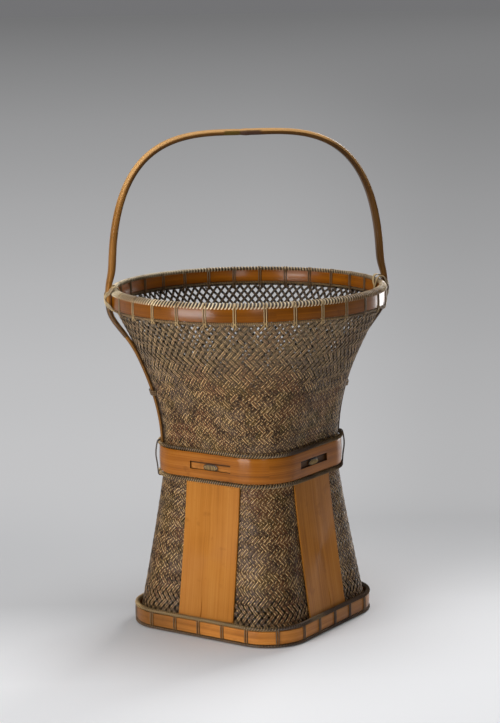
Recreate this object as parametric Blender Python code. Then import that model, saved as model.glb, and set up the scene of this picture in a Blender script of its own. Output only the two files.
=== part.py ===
"""Ikebana basket: plaited bamboo, square at the foot, cinched at the waist, round at the mouth.

Metres, +Z up. The origin is on the surface that the basket stands on, under its middle. The
corners of the square foot and waist point along X and Y, and the handle stands in the XZ plane.
"""
import math

import bmesh
import bpy
from mathutils import Vector

# How the pieces lie on each other
CLEARANCE = 0.0003            # air between two pieces that touch
OVERRUN = 0.001               # how far a cutter or a joined part runs past its face
FACETS = 60                   # facets round every hoop and round the body

# The plaited body
BODY_WALL = 0.002             # two layers of strip
FLOOR_HEIGHT = 0.0065         # underside of the plaited floor
FOOT_REACH = 0.1205           # axis to wall at a corner, where the wall would meet the ground
WAIST_REACH = 0.0912          # the same at the waist
MOUTH_RADIUS = 0.1377         # the wall inside the rim is round
FOOT_FLAT = 0.0575            # half of the straight stretch of each side, at the foot
WAIST_FLAT = 0.0369           # the same at the waist
WAIST_LOW = 0.157             # the waist is upright between these heights
WAIST_HIGH = 0.187
MOUTH_HEIGHT = 0.3285         # the flare ends here, under the rim bands
MOUTH_EDGE_RISE = 0.0145      # the wall's cut edge above that, inside the rim
FOOT_FLARE_POWER = 1.12       # how the wall sweeps out towards the foot
MOUTH_BEND_SHARE = 0.85       # length over which the upper wall turns into a straight cone
LOWER_ROW_SHARES = (0.0, 0.3, 0.6, 0.88)
UPPER_ROW_SHARES = (0.0, 0.2, 0.4, 0.56, 0.71, 0.86, 1.0)

# Rim
RIM_BAND_THICKNESS = 0.002
RIM_BAND_HEIGHT = 0.0146
RIM_INNER_BAND_THICKNESS = 0.0018
RIM_INNER_BAND_HEIGHT = 0.012
RIM_ROLL_WIDTH = 0.0078
RIM_ROLL_HEIGHT = 0.0045
RIM_CANE_HEIGHT = 0.0026
RIM_CANE_WIDTH = 0.0020
RIM_LASHINGS = 30             # two of them are the knots that hold the handle
RIM_LASHING_TURN = math.radians(1.6)

# Lashing straps, at the rim and at the foot
STRAP_THICKNESS = 0.0009
STRAP_WIDTH = 0.0046          # two strands of cane side by side
STRAP_GROOVE = 0.0004         # depth of the groove between the two strands

# Waist
BACKING_THICKNESS = 0.001
BACKING_HEIGHT = 0.023
WAIST_BAND_THICKNESS = 0.0018
WAIST_BAND_LOW = 0.159
WAIST_BAND_HIGH = 0.185
WAIST_ROLL_WIDTH = 0.003
WAIST_ROLL_HEIGHT = 0.0045
WINDOW_LENGTH = 0.047
WINDOW_HEIGHT = 0.0076
WINDOW_SHIFT = 0.004          # windows sit nearer to the corners that carry no handle
WINDOW_KNOT_LENGTH = 0.0165
WINDOW_KNOT_HEIGHT = 0.0042
WINDOW_KNOT_DEPTH = 0.0018
WINDOW_KNOT_SHARES = ((-1.0, 0.45), (-0.6, 1.0), (0.6, 1.0), (1.0, 0.45))   # place, size
WAIST_TIE_WIDTH = 0.0024
WAIST_TIE_THICKNESS = 0.001

# Slats
SLAT_THICKNESS = 0.0015
SLAT_CHAMFER = 0.0005
SLAT_TOP_WIDTH = 0.0645
SLAT_BOTTOM_WIDTH = 0.0665
SLAT_TOP = 0.1575
SLAT_BOTTOM = 0.012
SLAT_SHIFT = 0.006
SLAT_SPLIT_LENGTH = 0.038
SLAT_SPLIT_WIDTH = 0.0009
SLAT_ROW_SHARES = (0.0, 0.25, 0.5, 0.75, 1.0)

# Foot
FOOT_BAND_THICKNESS = 0.0022
FOOT_BAND_HIGH = 0.0165
FOOT_BAND_REFERENCE = 0.01    # the upright foot band follows the wall's outline at this height
FOOT_ROLL_WIDTH = 0.0048
FOOT_ROLL_HEIGHT = 0.0045
EDGE_ROLL_WIDTH = 0.0033
EDGE_ROLL_HEIGHT = 0.0032
FOOT_HOOP_THICKNESS = 0.0024
FOOT_LASHINGS_PER_SIDE = 6
BATTEN_WIDTH = 0.014
BATTEN_THICKNESS = 0.0018

# Handle
HANDLE_RISE = 0.160           # top face of the arch at its middle, above the wall's cut edge
ARCH_THICKNESS = 0.0062
ARCH_WIDTH = 0.0105
ARCH_SPRING_RISE = 0.019      # where the arch meets the bend over the rim, above the cut edge
ARCH_SPRING_X = 0.1385
ARCH_CROWN_REACH = 0.055      # the curve leaves the crown along a level line of this length
ARCH_SHOULDER_X = 0.1355      # the corner that the curve is drawn towards at the shoulder
ARCH_SHOULDER_RISE = 0.011    # how far that corner stands above the crown
LEG_THICKNESS = 0.0076
LEG_WIDTH = 0.013
RIM_LEG_THICKNESS = 0.0052
RIM_LEG_WIDTH = 0.0118
TAIL_THICKNESS = 0.0032       # pared tail along the upper body
TAIL_WIDTH = 0.009
TAIL_END_THICKNESS = 0.0015   # its end, tucked under the waist roll
TAIL_END_WIDTH = 0.0075
TAIL_SETTLE_DROP = 0.0435     # the tail lies on the wall from this far below the mouth
TAIL_PARED_SHARE = 0.3        # of the tail's length, over which it is pared down from the leg
TAIL_STEP_POWER = 1.4         # packs the tail's sections closer together under the rim
NODE_RISE = 0.0005            # swelling of the bamboo's joint at the crown
NODE_HALF_LENGTH = 0.0035
ARCH_STEPS = 20
TAIL_STEPS = 10
CULM_SHARES = ((-0.5, -0.62), (-0.2, -1.0), (0.15, -0.94), (0.5, -0.45),     # outwards, sideways
               (0.5, 0.45), (0.15, 0.94), (-0.2, 1.0), (-0.5, 0.62))

# Ties of the handle
TAIL_TIE_SHARE = 0.527        # of the way up from the waist to where the tail settles
TAIL_TIE_LENGTH = 0.006
TAIL_TIE_THICKNESS = 0.0011
KNOT_STRAP_WIDTH = 0.0026
KNOT_THICKNESS = 0.0012
KNOT_LENGTH = 0.010

# Water tube
TUBE_RADIUS = 0.049
TUBE_HEIGHT = 0.130
TUBE_WALL = 0.005
TUBE_FLOOR = 0.009
TUBE_LIP_BEVEL = 0.0008
TUBE_NODE_HEIGHT = 0.016
TUBE_NODE_RISE = 0.0012
TUBE_NODE_HALF_LENGTH = 0.004
TUBE_SEGMENTS = 32

# Sizes worked out from the ones above
BODY_TOP = MOUTH_HEIGHT + MOUTH_EDGE_RISE
RIM_BAND_LOW = BODY_TOP - RIM_BAND_HEIGHT
RIM_INNER_BAND_LOW = BODY_TOP - RIM_INNER_BAND_HEIGHT
HANDLE_TOP = BODY_TOP + HANDLE_RISE
ARCH_SPRING = BODY_TOP + ARCH_SPRING_RISE
TAIL_SETTLE_HEIGHT = MOUTH_HEIGHT - TAIL_SETTLE_DROP
SIDE_SHARE = math.sqrt(2.0) - 1.0
FLARE_BEND = MOUTH_BEND_SHARE * (MOUTH_HEIGHT - WAIST_HIGH)
RIM_BAND_INNER = MOUTH_RADIUS + CLEARANCE
RIM_BAND_OUTER = RIM_BAND_INNER + RIM_BAND_THICKNESS
RIM_INNER_BAND_OUTER = MOUTH_RADIUS - BODY_WALL - CLEARANCE
RIM_INNER_BAND_INNER = RIM_INNER_BAND_OUTER - RIM_INNER_BAND_THICKNESS
RIM_ROLL_LOW = BODY_TOP + CLEARANCE
RIM_ROLL_TOP = RIM_ROLL_LOW + RIM_ROLL_HEIGHT
RIM_ROLL_MIDDLE = (RIM_BAND_OUTER + RIM_INNER_BAND_INNER) / 2
RIM_ROLL_OUTER = RIM_ROLL_MIDDLE + RIM_ROLL_WIDTH / 2
RIM_ROLL_INNER = RIM_ROLL_MIDDLE - RIM_ROLL_WIDTH / 2
RIM_CANE_TOP = RIM_BAND_LOW - CLEARANCE
RIM_INNER_CANE_TOP = RIM_INNER_BAND_LOW - CLEARANCE
BACKING_INNER = CLEARANCE
BACKING_OUTER = BACKING_INNER + BACKING_THICKNESS
WAIST_BAND_INNER = BACKING_OUTER + CLEARANCE
WAIST_BAND_OUTER = WAIST_BAND_INNER + WAIST_BAND_THICKNESS
WAIST_MIDDLE = (WAIST_BAND_LOW + WAIST_BAND_HIGH) / 2
ROLL_INNER = CLEARANCE + SLAT_THICKNESS + CLEARANCE      # rolls pass over slats and tails
WAIST_ROLL_OUTER = ROLL_INNER + WAIST_ROLL_WIDTH
WAIST_ROLL_TOP = WAIST_BAND_HIGH + CLEARANCE + WAIST_ROLL_HEIGHT
WAIST_ROLL_BOTTOM = WAIST_BAND_LOW - CLEARANCE - WAIST_ROLL_HEIGHT
FOOT_BAND_OUTER = ROLL_INNER + FOOT_BAND_THICKNESS
FOOT_BAND_LOW = EDGE_ROLL_HEIGHT + CLEARANCE
FOOT_ROLL_LOW = FOOT_BAND_HIGH + CLEARANCE
FOOT_HOOP_TOP = FLOOR_HEIGHT - CLEARANCE
TAIL_END_HEIGHT = WAIST_BAND_HIGH + CLEARANCE + WAIST_ROLL_HEIGHT / 2
TAIL_TIE_HEIGHT = WAIST_ROLL_TOP + (TAIL_SETTLE_HEIGHT - WAIST_ROLL_TOP) * TAIL_TIE_SHARE
RIM_LEG_X = RIM_BAND_OUTER + CLEARANCE + RIM_LEG_THICKNESS / 2
ROLL_LEG_X = RIM_ROLL_OUTER + CLEARANCE + RIM_LEG_THICKNESS / 2


def material(name, colour, roughness, metallic=0.0):
    """A Principled material in the piece's own colour."""
    made = bpy.data.materials.new(name)
    made.use_nodes = True
    shader = made.node_tree.nodes["Principled BSDF"]
    shader.inputs["Base Color"].default_value = (*colour, 1.0)
    shader.inputs["Roughness"].default_value = roughness
    shader.inputs["Metallic"].default_value = metallic
    return made


def corner_reach(height):
    """Distance from the axis to the wall's outer face at a corner."""
    if height < WAIST_LOW:
        drop = (WAIST_LOW - height) / WAIST_LOW
        return WAIST_REACH + (FOOT_REACH - WAIST_REACH) * drop ** FOOT_FLARE_POWER
    rise = min(max(height - WAIST_HIGH, 0.0), MOUTH_HEIGHT - WAIST_HIGH)
    full = math.hypot(MOUTH_HEIGHT - WAIST_HIGH, FLARE_BEND) - FLARE_BEND
    now = math.hypot(rise, FLARE_BEND) - FLARE_BEND
    return WAIST_REACH + (MOUTH_RADIUS - WAIST_REACH) * now / full


def side_flat(height):
    """Half of the straight stretch of a side, which dies out at the round mouth."""
    if height < WAIST_LOW:
        return WAIST_FLAT + (FOOT_FLAT - WAIST_FLAT) * (WAIST_LOW - height) / WAIST_LOW
    rise = (height - WAIST_HIGH) / (MOUTH_HEIGHT - WAIST_HIGH)
    return WAIST_FLAT * (1.0 - min(max(rise, 0.0), 1.0))


def wall_rows():
    """Heights of the body's rows of facets, from its floor to its cut edge."""
    rows = [FLOOR_HEIGHT + (WAIST_LOW - FLOOR_HEIGHT) * share for share in LOWER_ROW_SHARES]
    rows.append(WAIST_LOW)
    rows += [WAIST_HIGH + (MOUTH_HEIGHT - WAIST_HIGH) * share for share in UPPER_ROW_SHARES]
    return rows + [BODY_TOP]


def wall_reach(height):
    """Distance from the axis to the faceted wall at a corner, for what lies on it."""
    rows = wall_rows()
    for low, high in zip(rows, rows[1:]):
        if low <= height <= high:
            share = (height - low) / (high - low)
            return corner_reach(low) + (corner_reach(high) - corner_reach(low)) * share
    return corner_reach(height)


def outline_distance(angle, reach, flat):
    """Distance from the axis to a rounded square whose corners lie on the X and Y axes."""
    from_side = (angle % (math.pi / 2)) - math.pi / 4
    along, across = math.cos(from_side), abs(math.sin(from_side))
    side = reach - flat * SIDE_SHARE
    if side * across <= flat * along:
        return side / along
    turn = flat * (along + across)
    radius = reach - flat * math.sqrt(2.0)
    return turn + math.sqrt(turn * turn - 2 * flat * flat + radius * radius)


def outline_loop(reach, flat, height):
    """The rounded square at one height, as points at even angles round the axis."""
    points = []
    for step in range(FACETS):
        angle = 2 * math.pi * step / FACETS
        distance = outline_distance(angle, reach, flat)
        points.append(Vector((math.cos(angle) * distance, math.sin(angle) * distance, height)))
    return points


def outline_place(share, reach, flat):
    """Point and outward direction at a share of the way round, counted from the -Y corner."""
    radius = reach - flat * math.sqrt(2.0)
    arc = radius * math.pi / 4
    quarter = 2 * arc + 2 * flat
    side, along = divmod(share * 4 * quarter, quarter)
    start = side * math.pi / 2 - math.pi / 2
    middle = start + math.pi / 4
    if along < arc:
        turn = start + along / radius
        centre = Vector((math.cos(start), math.sin(start), 0)) * flat * math.sqrt(2.0)
    elif along > arc + 2 * flat:
        turn = middle + (along - arc - 2 * flat) / radius
        centre = Vector((math.cos(start + math.pi / 2), math.sin(start + math.pi / 2), 0))
        centre *= flat * math.sqrt(2.0)
    else:
        turn = middle
        slide = along - arc - flat
        centre = Vector((-math.sin(middle), math.cos(middle), 0)) * slide
        centre += Vector((math.cos(middle), math.sin(middle), 0)) * flat
    outward = Vector((math.cos(turn), math.sin(turn), 0))
    return centre + outward * radius, outward


def new_object(name, mesh, finish, parent=None, smooth_angle=35):
    """Puts a mesh into the scene under its parent, shaded smooth except at its edges."""
    piece = bpy.data.objects.new(name, mesh)
    bpy.context.scene.collection.objects.link(piece)
    mesh.shade_smooth()
    mesh.set_sharp_from_angle(angle=math.radians(smooth_angle))
    if finish is not None:
        mesh.materials.append(finish)
    if parent is not None:
        piece.parent = parent
        piece.matrix_parent_inverse = parent.matrix_world.inverted()
    return piece


def add_skin(mesh, loops, ring):
    """Faces over a row of closed loops: joined into a ring, or capped at both ends."""
    rows = [[mesh.verts.new(point) for point in loop] for loop in loops]
    pairs = list(zip(rows, rows[1:]))
    if ring:
        pairs.append((rows[-1], rows[0]))
    else:
        mesh.faces.new(rows[0])
        mesh.faces.new(rows[-1])
    for low, high in pairs:
        for here in range(len(low)):
            there = (here + 1) % len(low)
            mesh.faces.new((low[here], low[there], high[there], high[here]))


def solid(name, bodies):
    """A mesh of one or more closed bodies, each given as its loops and whether it is a ring."""
    mesh = bmesh.new()
    for loops, ring in bodies:
        add_skin(mesh, loops, ring)
    bmesh.ops.recalc_face_normals(mesh, faces=mesh.faces)
    data = bpy.data.meshes.new(name)
    mesh.to_mesh(data)
    mesh.free()
    return data


def cutter(name, bodies, parent):
    """A guide mesh for a Boolean, which isn't part of the basket."""
    piece = new_object(name, solid(name, bodies), None, parent)
    piece.hide_render = True
    piece.display_type = "WIRE"
    return piece


def add_boolean(piece, other, operation):
    """Cuts another mesh out of a piece, or joins it on."""
    modifier = piece.modifiers.new(operation.lower(), "BOOLEAN")
    modifier.operation = operation
    modifier.solver = "EXACT"
    modifier.object = other


def band_section(inner, outer, low, high):
    """A flat strip of bamboo, seen from its end: distance from the wall, and height."""
    return ((inner, low), (outer, low), (outer, high), (inner, high))


def roll_section(inner, outer, low, high):
    """A wrapped roll, seen from its end: six sided, with its points inwards and outwards."""
    shoulder = (outer - inner) / 4
    middle = (low + high) / 2
    return ((inner, middle), (inner + shoulder, low), (outer - shoulder, low),
            (outer, middle), (outer - shoulder, high), (inner + shoulder, high))


def hoop_loops(section, reach, flat):
    """A section carried round the outline: one loop for each of its points."""
    return [outline_loop(reach + offset, flat, height) for offset, height in section]


def hoop(name, section, reference, finish, parent):
    """A hoop round the body, set off from the wall's outline at a reference height."""
    loops = hoop_loops(section, corner_reach(reference), side_flat(reference))
    return new_object(name, solid(name, [(loops, True)]), finish, parent)


def round_hoop(name, section, finish, parent):
    """A hoop at the round mouth, whose section holds distances from the axis."""
    return new_object(name, solid(name, [(hoop_loops(section, 0.0, 0.0), True)]), finish, parent)


def extruded(profile, origin, outward, half_width):
    """A flat profile of distances and heights, standing on the wall and given a width."""
    across = Vector((-outward.y, outward.x, 0))
    loops = []
    for side in (-half_width, half_width):
        loops.append([origin + outward * offset + across * side + Vector((0, 0, height))
                      for offset, height in profile])
    return loops, False


def strap(inner, low, high, origin, outward, out_sign=1):
    """A pair of lashing strands with the groove between them, upright on a hoop's face."""
    across = Vector((-outward.y, outward.x, 0))
    outer = inner + out_sign * STRAP_THICKNESS
    groove = outer - out_sign * STRAP_GROOVE
    half = STRAP_WIDTH / 2
    section = ((inner, -half), (outer, -half), (groove, 0.0), (outer, half), (inner, half))
    loops = []
    for height in (low, high):
        loops.append([origin + outward * offset + across * side + Vector((0, 0, height))
                      for offset, side in section])
    return loops, False


def make_body(finish, parent):
    """The plaited body as one cup: outer wall, cut edge, inner wall and floor."""
    heights = wall_rows()
    outer = [outline_loop(corner_reach(z), side_flat(z), z) for z in heights]
    heights[0] += BODY_WALL
    inner = [outline_loop(corner_reach(z) - BODY_WALL, side_flat(z), z) for z in heights]
    data = solid("woven_body", [(outer + inner[::-1], False)])
    new_object("woven_body", data, finish, parent)


def make_foot(finish, binding, parent):
    """Foot: inner hoop and crossed battens under the floor, outer band and its two rolls."""
    reference = FOOT_BAND_REFERENCE
    hoop_outer = ROLL_INNER - CLEARANCE
    hoop_inner = hoop_outer - FOOT_HOOP_THICKNESS
    hoop("foot_hoop", band_section(hoop_inner, hoop_outer, 0.0, FOOT_HOOP_TOP),
         reference, finish, parent)
    hoop("foot_band", band_section(ROLL_INNER, FOOT_BAND_OUTER, FOOT_BAND_LOW, FOOT_BAND_HIGH),
         reference, finish, parent)
    edge_outer = ROLL_INNER + EDGE_ROLL_WIDTH
    hoop("foot_edge_roll", roll_section(ROLL_INNER, edge_outer, 0.0, EDGE_ROLL_HEIGHT),
         reference, binding, parent)
    reach, flat = corner_reach(reference), side_flat(reference)
    half_length = reach + hoop_inner - flat * SIDE_SHARE - CLEARANCE
    top = FLOOR_HEIGHT - CLEARANCE
    for name, quarter in (("upper_batten", 1), ("lower_batten", 3)):
        low = top - BATTEN_THICKNESS
        profile = band_section(-half_length, half_length, low, top)
        turn = quarter * math.pi / 4
        outward = Vector((math.cos(turn), math.sin(turn), 0))
        body = extruded(profile, Vector(), outward, BATTEN_WIDTH / 2)
        new_object(name, solid(name, [body]), finish, parent)
        top = low - CLEARANCE


def make_foot_binding(finish, parent):
    """The wound roll on the foot band, with its lashings down the band."""
    section = roll_section(ROLL_INNER, ROLL_INNER + FOOT_ROLL_WIDTH, FOOT_ROLL_LOW,
                           FOOT_ROLL_LOW + FOOT_ROLL_HEIGHT)
    roll = hoop("foot_binding", section, FOOT_ROLL_LOW, finish, parent)
    reach, flat = corner_reach(FOOT_BAND_REFERENCE), side_flat(FOOT_BAND_REFERENCE)
    straps = []
    count = 4 * FOOT_LASHINGS_PER_SIDE
    for place in range(count):
        origin, outward = outline_place(place / count, reach, flat)
        straps.append(strap(FOOT_BAND_OUTER + CLEARANCE, FOOT_BAND_LOW + CLEARANCE,
                            FOOT_ROLL_LOW + FOOT_ROLL_HEIGHT / 2, origin, outward))
    add_boolean(roll, cutter("foot_lashings", straps, parent), "UNION")


def side_frame(side):
    """Outward and sideways directions of one side, sideways pointing to its +-Y corner."""
    turn = math.pi / 4 + side * math.pi / 2
    outward = Vector((math.cos(turn), math.sin(turn), 0))
    across = Vector((-outward.y, outward.x, 0))
    if across.y * outward.y < 0:
        across = -across
    return outward, across


def make_slat(name, side, finish, parent):
    """A split bamboo slat up the middle of one side, from the foot band to the waist."""
    outward, across = side_frame(side)
    loops = []
    for share in SLAT_ROW_SHARES:
        height = SLAT_TOP + (SLAT_BOTTOM - SLAT_TOP) * share
        half = (SLAT_TOP_WIDTH + (SLAT_BOTTOM_WIDTH - SLAT_TOP_WIDTH) * share) / 2
        base = wall_reach(height) - side_flat(height) * SIDE_SHARE + CLEARANCE
        edge, face = base + SLAT_THICKNESS - SLAT_CHAMFER, base + SLAT_THICKNESS
        section = ((base, -half), (edge, -half), (face, -half + SLAT_CHAMFER),
                   (face, half - SLAT_CHAMFER), (edge, half), (base, half))
        loops.append([outward * out + across * (SLAT_SHIFT + slide) + Vector((0, 0, height))
                      for out, slide in section])
    slat = new_object(name, solid(name, [(loops, False)]), finish, parent)
    reach = corner_reach(0.0)
    wedge = []
    for out in (0.0, reach):
        foot = outward * out + across * SLAT_SHIFT + Vector((0, 0, SLAT_BOTTOM - OVERRUN))
        half_split = across * (SLAT_SPLIT_WIDTH / 2)
        wedge.append([foot - half_split, foot + half_split, foot + Vector((0, 0, SLAT_SPLIT_LENGTH))])
    add_boolean(slat, cutter(name + "_split", [(wedge, False)], parent), "DIFFERENCE")


def make_waist(finish, binding, parent):
    """Waist: backing hoop, windowed band, and a wound roll above and below it."""
    reference = WAIST_MIDDLE
    backing_low = WAIST_MIDDLE - BACKING_HEIGHT / 2
    hoop("waist_backing", band_section(BACKING_INNER, BACKING_OUTER, backing_low,
                                       backing_low + BACKING_HEIGHT), reference, finish, parent)
    band = hoop("waist_band", band_section(WAIST_BAND_INNER, WAIST_BAND_OUTER, WAIST_BAND_LOW,
                                           WAIST_BAND_HIGH), reference, finish, parent)
    side_distance = corner_reach(reference) - side_flat(reference) * SIDE_SHARE
    low, high = WAIST_MIDDLE - WINDOW_HEIGHT / 2, WAIST_MIDDLE + WINDOW_HEIGHT / 2
    depth = (side_distance + BACKING_OUTER + CLEARANCE / 2,
             side_distance + WAIST_BAND_OUTER + OVERRUN)
    profile = band_section(*depth, low, high)
    windows = []
    for side in range(4):
        outward, across = side_frame(side)
        windows.append(extruded(profile, across * WINDOW_SHIFT, outward, WINDOW_LENGTH / 2))
    add_boolean(band, cutter("waist_windows", windows, parent), "DIFFERENCE")
    hoop("waist_roll_top", roll_section(ROLL_INNER, WAIST_ROLL_OUTER, WAIST_BAND_HIGH + CLEARANCE,
                                        WAIST_ROLL_TOP), reference, binding, parent)
    hoop("waist_roll_bottom", roll_section(ROLL_INNER, WAIST_ROLL_OUTER, WAIST_ROLL_BOTTOM,
                                           WAIST_BAND_LOW - CLEARANCE), reference, binding, parent)


def make_window_knot(name, side, finish, parent):
    """The flat cane knot that holds the backing hoop, in the middle of a window."""
    outward, across = side_frame(side)
    side_distance = corner_reach(WAIST_MIDDLE) - side_flat(WAIST_MIDDLE) * SIDE_SHARE
    base = side_distance + BACKING_OUTER + CLEARANCE
    half, rise = WINDOW_KNOT_LENGTH / 2, WINDOW_KNOT_HEIGHT / 2
    loops = []
    for slide_share, size_share in WINDOW_KNOT_SHARES:
        centre = across * (WINDOW_SHIFT + slide_share * half)
        tall = rise * size_share
        thick = WINDOW_KNOT_DEPTH * size_share
        section = ((base, -tall), (base + thick / 2, -tall), (base + thick, 0.0),
                   (base + thick / 2, tall), (base, tall))
        loops.append([centre + outward * out + Vector((0, 0, WAIST_MIDDLE + height))
                      for out, height in section])
    new_object(name, solid(name, [(loops, False)]), finish, parent)


def make_waist_tie(name, sign, finish, parent):
    """A strand at a handle corner that binds the two waist rolls over the band."""
    reach = corner_reach(WAIST_MIDDLE)
    outer = WAIST_ROLL_OUTER + CLEARANCE
    top, bottom = WAIST_ROLL_TOP + CLEARANCE, WAIST_ROLL_BOTTOM - CLEARANCE
    thick = WAIST_TIE_THICKNESS
    hook = (ROLL_INNER + WAIST_ROLL_OUTER) / 2
    profile = ((hook, top), (outer, top), (outer, bottom), (hook, bottom), (hook, bottom - thick),
               (outer + thick, bottom - thick), (outer + thick, top + thick), (hook, top + thick))
    outward = Vector((sign, 0, 0))
    body = extruded(profile, outward * reach, outward, WAIST_TIE_WIDTH / 2)
    new_object(name, solid(name, [body]), finish, parent)


def bezier(points, share):
    """A point on the cubic curve of four points."""
    a, b, c, d = points
    rest = 1.0 - share
    return (a * rest ** 3 + b * (3 * rest * rest * share) + c * (3 * rest * share * share)
            + d * share ** 3)


def leg_stations():
    """The right half of the handle, crown to tail: middle line, thickness and width."""
    crown = Vector((0, 0, HANDLE_TOP - ARCH_THICKNESS / 2))
    spring = Vector((ARCH_SPRING_X, 0, ARCH_SPRING))
    arch = (crown, crown + Vector((ARCH_CROWN_REACH, 0, 0)),
            Vector((ARCH_SHOULDER_X, 0, crown.z + ARCH_SHOULDER_RISE)), spring)
    stations = []
    for step in range(ARCH_STEPS):
        share = step / ARCH_STEPS
        size = share * share
        thick = ARCH_THICKNESS + (LEG_THICKNESS - ARCH_THICKNESS) * size
        width = ARCH_WIDTH + (LEG_WIDTH - ARCH_WIDTH) * size
        stations.append((bezier(arch, share), thick, width))
    band_middle = (RIM_BAND_LOW + BODY_TOP) / 2
    below_cane = RIM_CANE_TOP - RIM_CANE_HEIGHT
    stations.append((spring, LEG_THICKNESS, LEG_WIDTH))
    stations.append((Vector((ROLL_LEG_X, 0, RIM_ROLL_TOP + RIM_ROLL_HEIGHT / 2)),
                     RIM_LEG_THICKNESS, RIM_LEG_WIDTH))
    stations.append((Vector((ROLL_LEG_X, 0, RIM_ROLL_LOW)), RIM_LEG_THICKNESS, RIM_LEG_WIDTH))
    stations.append((Vector((RIM_LEG_X, 0, band_middle)), RIM_LEG_THICKNESS, RIM_LEG_WIDTH))
    lift = RIM_LEG_X - RIM_LEG_THICKNESS / 2 - CLEARANCE - corner_reach(below_cane)
    for step in range(TAIL_STEPS + 1):
        share = step / TAIL_STEPS
        height = below_cane + (TAIL_END_HEIGHT - below_cane) * share ** TAIL_STEP_POWER
        pared = min(share / TAIL_PARED_SHARE, 1.0)
        thick = RIM_LEG_THICKNESS + (TAIL_THICKNESS - RIM_LEG_THICKNESS) * pared
        width = RIM_LEG_WIDTH + (TAIL_WIDTH - RIM_LEG_WIDTH) * pared
        thinned = max(share - TAIL_PARED_SHARE, 0.0) / (1.0 - TAIL_PARED_SHARE)
        thick += (TAIL_END_THICKNESS - TAIL_THICKNESS) * thinned
        width += (TAIL_END_WIDTH - TAIL_WIDTH) * thinned
        free = max(height - TAIL_SETTLE_HEIGHT, 0.0) / (below_cane - TAIL_SETTLE_HEIGHT)
        stand = lift * free * free * (3 - 2 * free)
        reach = wall_reach(height) + CLEARANCE + stand + thick / 2
        stations.append((Vector((reach, 0, height)), thick, width))
    return stations


def handle_section(middle, along, thickness, width):
    """Eight points round the bamboo: flat towards the basket, domed on the skin side."""
    skin = Vector((-along.z, 0, along.x))
    half = width / 2
    return [middle + skin * (thickness * out_share) + Vector((0, half * side_share, 0))
            for out_share, side_share in CULM_SHARES]


def make_handle(finish, parent):
    """The handle: one bamboo arch whose pared tails run down two corners to the waist."""
    right = leg_stations()
    crown = right[0]
    shoulder = [(Vector((NODE_HALF_LENGTH * side, 0, crown[0].z)), crown[1], crown[2])
                for side in (1, 2)]
    right = shoulder + right[2:]
    left = [(Vector((-middle.x, 0, middle.z)), thick, width) for middle, thick, width in right]
    crown = (crown[0], crown[1] + 2 * NODE_RISE, crown[2] + 2 * NODE_RISE)
    stations = left[::-1] + [crown] + right
    loops = []
    for place, (middle, thick, width) in enumerate(stations):
        before = stations[max(place - 1, 0)][0]
        after = stations[min(place + 1, len(stations) - 1)][0]
        loops.append(handle_section(middle, (after - before).normalized(), thick, width))
    new_object("handle", solid("handle", [(loops, False)]), finish, parent, smooth_angle=50)


def make_tail_tie(name, sign, finish, parent):
    """A cane tie over a tail of the handle, part way down the upper body."""
    low = TAIL_TIE_HEIGHT - TAIL_TIE_LENGTH / 2
    half_width = TAIL_WIDTH / 2 + CLEARANCE
    stand = CLEARANCE + TAIL_THICKNESS + CLEARANCE
    thick = TAIL_TIE_THICKNESS
    channel = ((CLEARANCE, half_width), (stand, half_width), (stand, -half_width),
               (CLEARANCE, -half_width), (CLEARANCE, -half_width - thick),
               (stand + thick, -half_width - thick), (stand + thick, half_width + thick),
               (CLEARANCE, half_width + thick))
    loops = []
    for height in (low, low + TAIL_TIE_LENGTH):
        reach = wall_reach(height)
        loops.append([Vector((sign * (reach + out), side, height)) for out, side in channel])
    new_object(name, solid(name, [(loops, False)]), finish, parent)


def make_handle_knot(name, sign, finish, parent):
    """The cane knot at the rim: round the leg's outer side, over the roll and down inside."""
    half_leg = RIM_LEG_WIDTH / 2 + CLEARANCE
    band_middle = (RIM_BAND_LOW + BODY_TOP) / 2
    foot = RIM_BAND_OUTER + CLEARANCE
    leg_outer = ROLL_LEG_X + RIM_LEG_THICKNESS / 2 + CLEARANCE
    thick = KNOT_THICKNESS
    channel = ((foot, half_leg), (leg_outer, half_leg), (leg_outer, -half_leg), (foot, -half_leg),
               (foot, -half_leg - KNOT_STRAP_WIDTH), (leg_outer + thick, -half_leg - thick),
               (leg_outer + thick, half_leg + thick), (foot, half_leg + KNOT_STRAP_WIDTH))
    loops = []
    for height in (band_middle - KNOT_LENGTH / 2, band_middle + KNOT_LENGTH / 2):
        loops.append([Vector((sign * out, side, height)) for out, side in channel])
    knot = new_object(name, solid(name, [(loops, False)]), finish, parent)
    outer = RIM_ROLL_OUTER + CLEARANCE
    inner = math.sqrt(RIM_ROLL_INNER ** 2 - (half_leg + KNOT_STRAP_WIDTH) ** 2) - CLEARANCE
    top = RIM_ROLL_TOP + CLEARANCE
    low_inside = RIM_INNER_BAND_LOW + CLEARANCE
    bridge = ((outer, band_middle), (outer, top), (inner, top), (inner, low_inside),
              (inner - thick, low_inside), (inner - thick, top + thick),
              (outer + thick, top + thick), (outer + thick, band_middle))
    outward = Vector((sign, 0, 0))
    offset = half_leg + KNOT_STRAP_WIDTH / 2
    half_width = (KNOT_STRAP_WIDTH - CLEARANCE) / 2
    bridges = [extruded(bridge, Vector((0, side * offset, 0)), outward, half_width)
               for side in (-1, 1)]
    add_boolean(knot, cutter(name + "_bridges", bridges, parent), "UNION")


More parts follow.
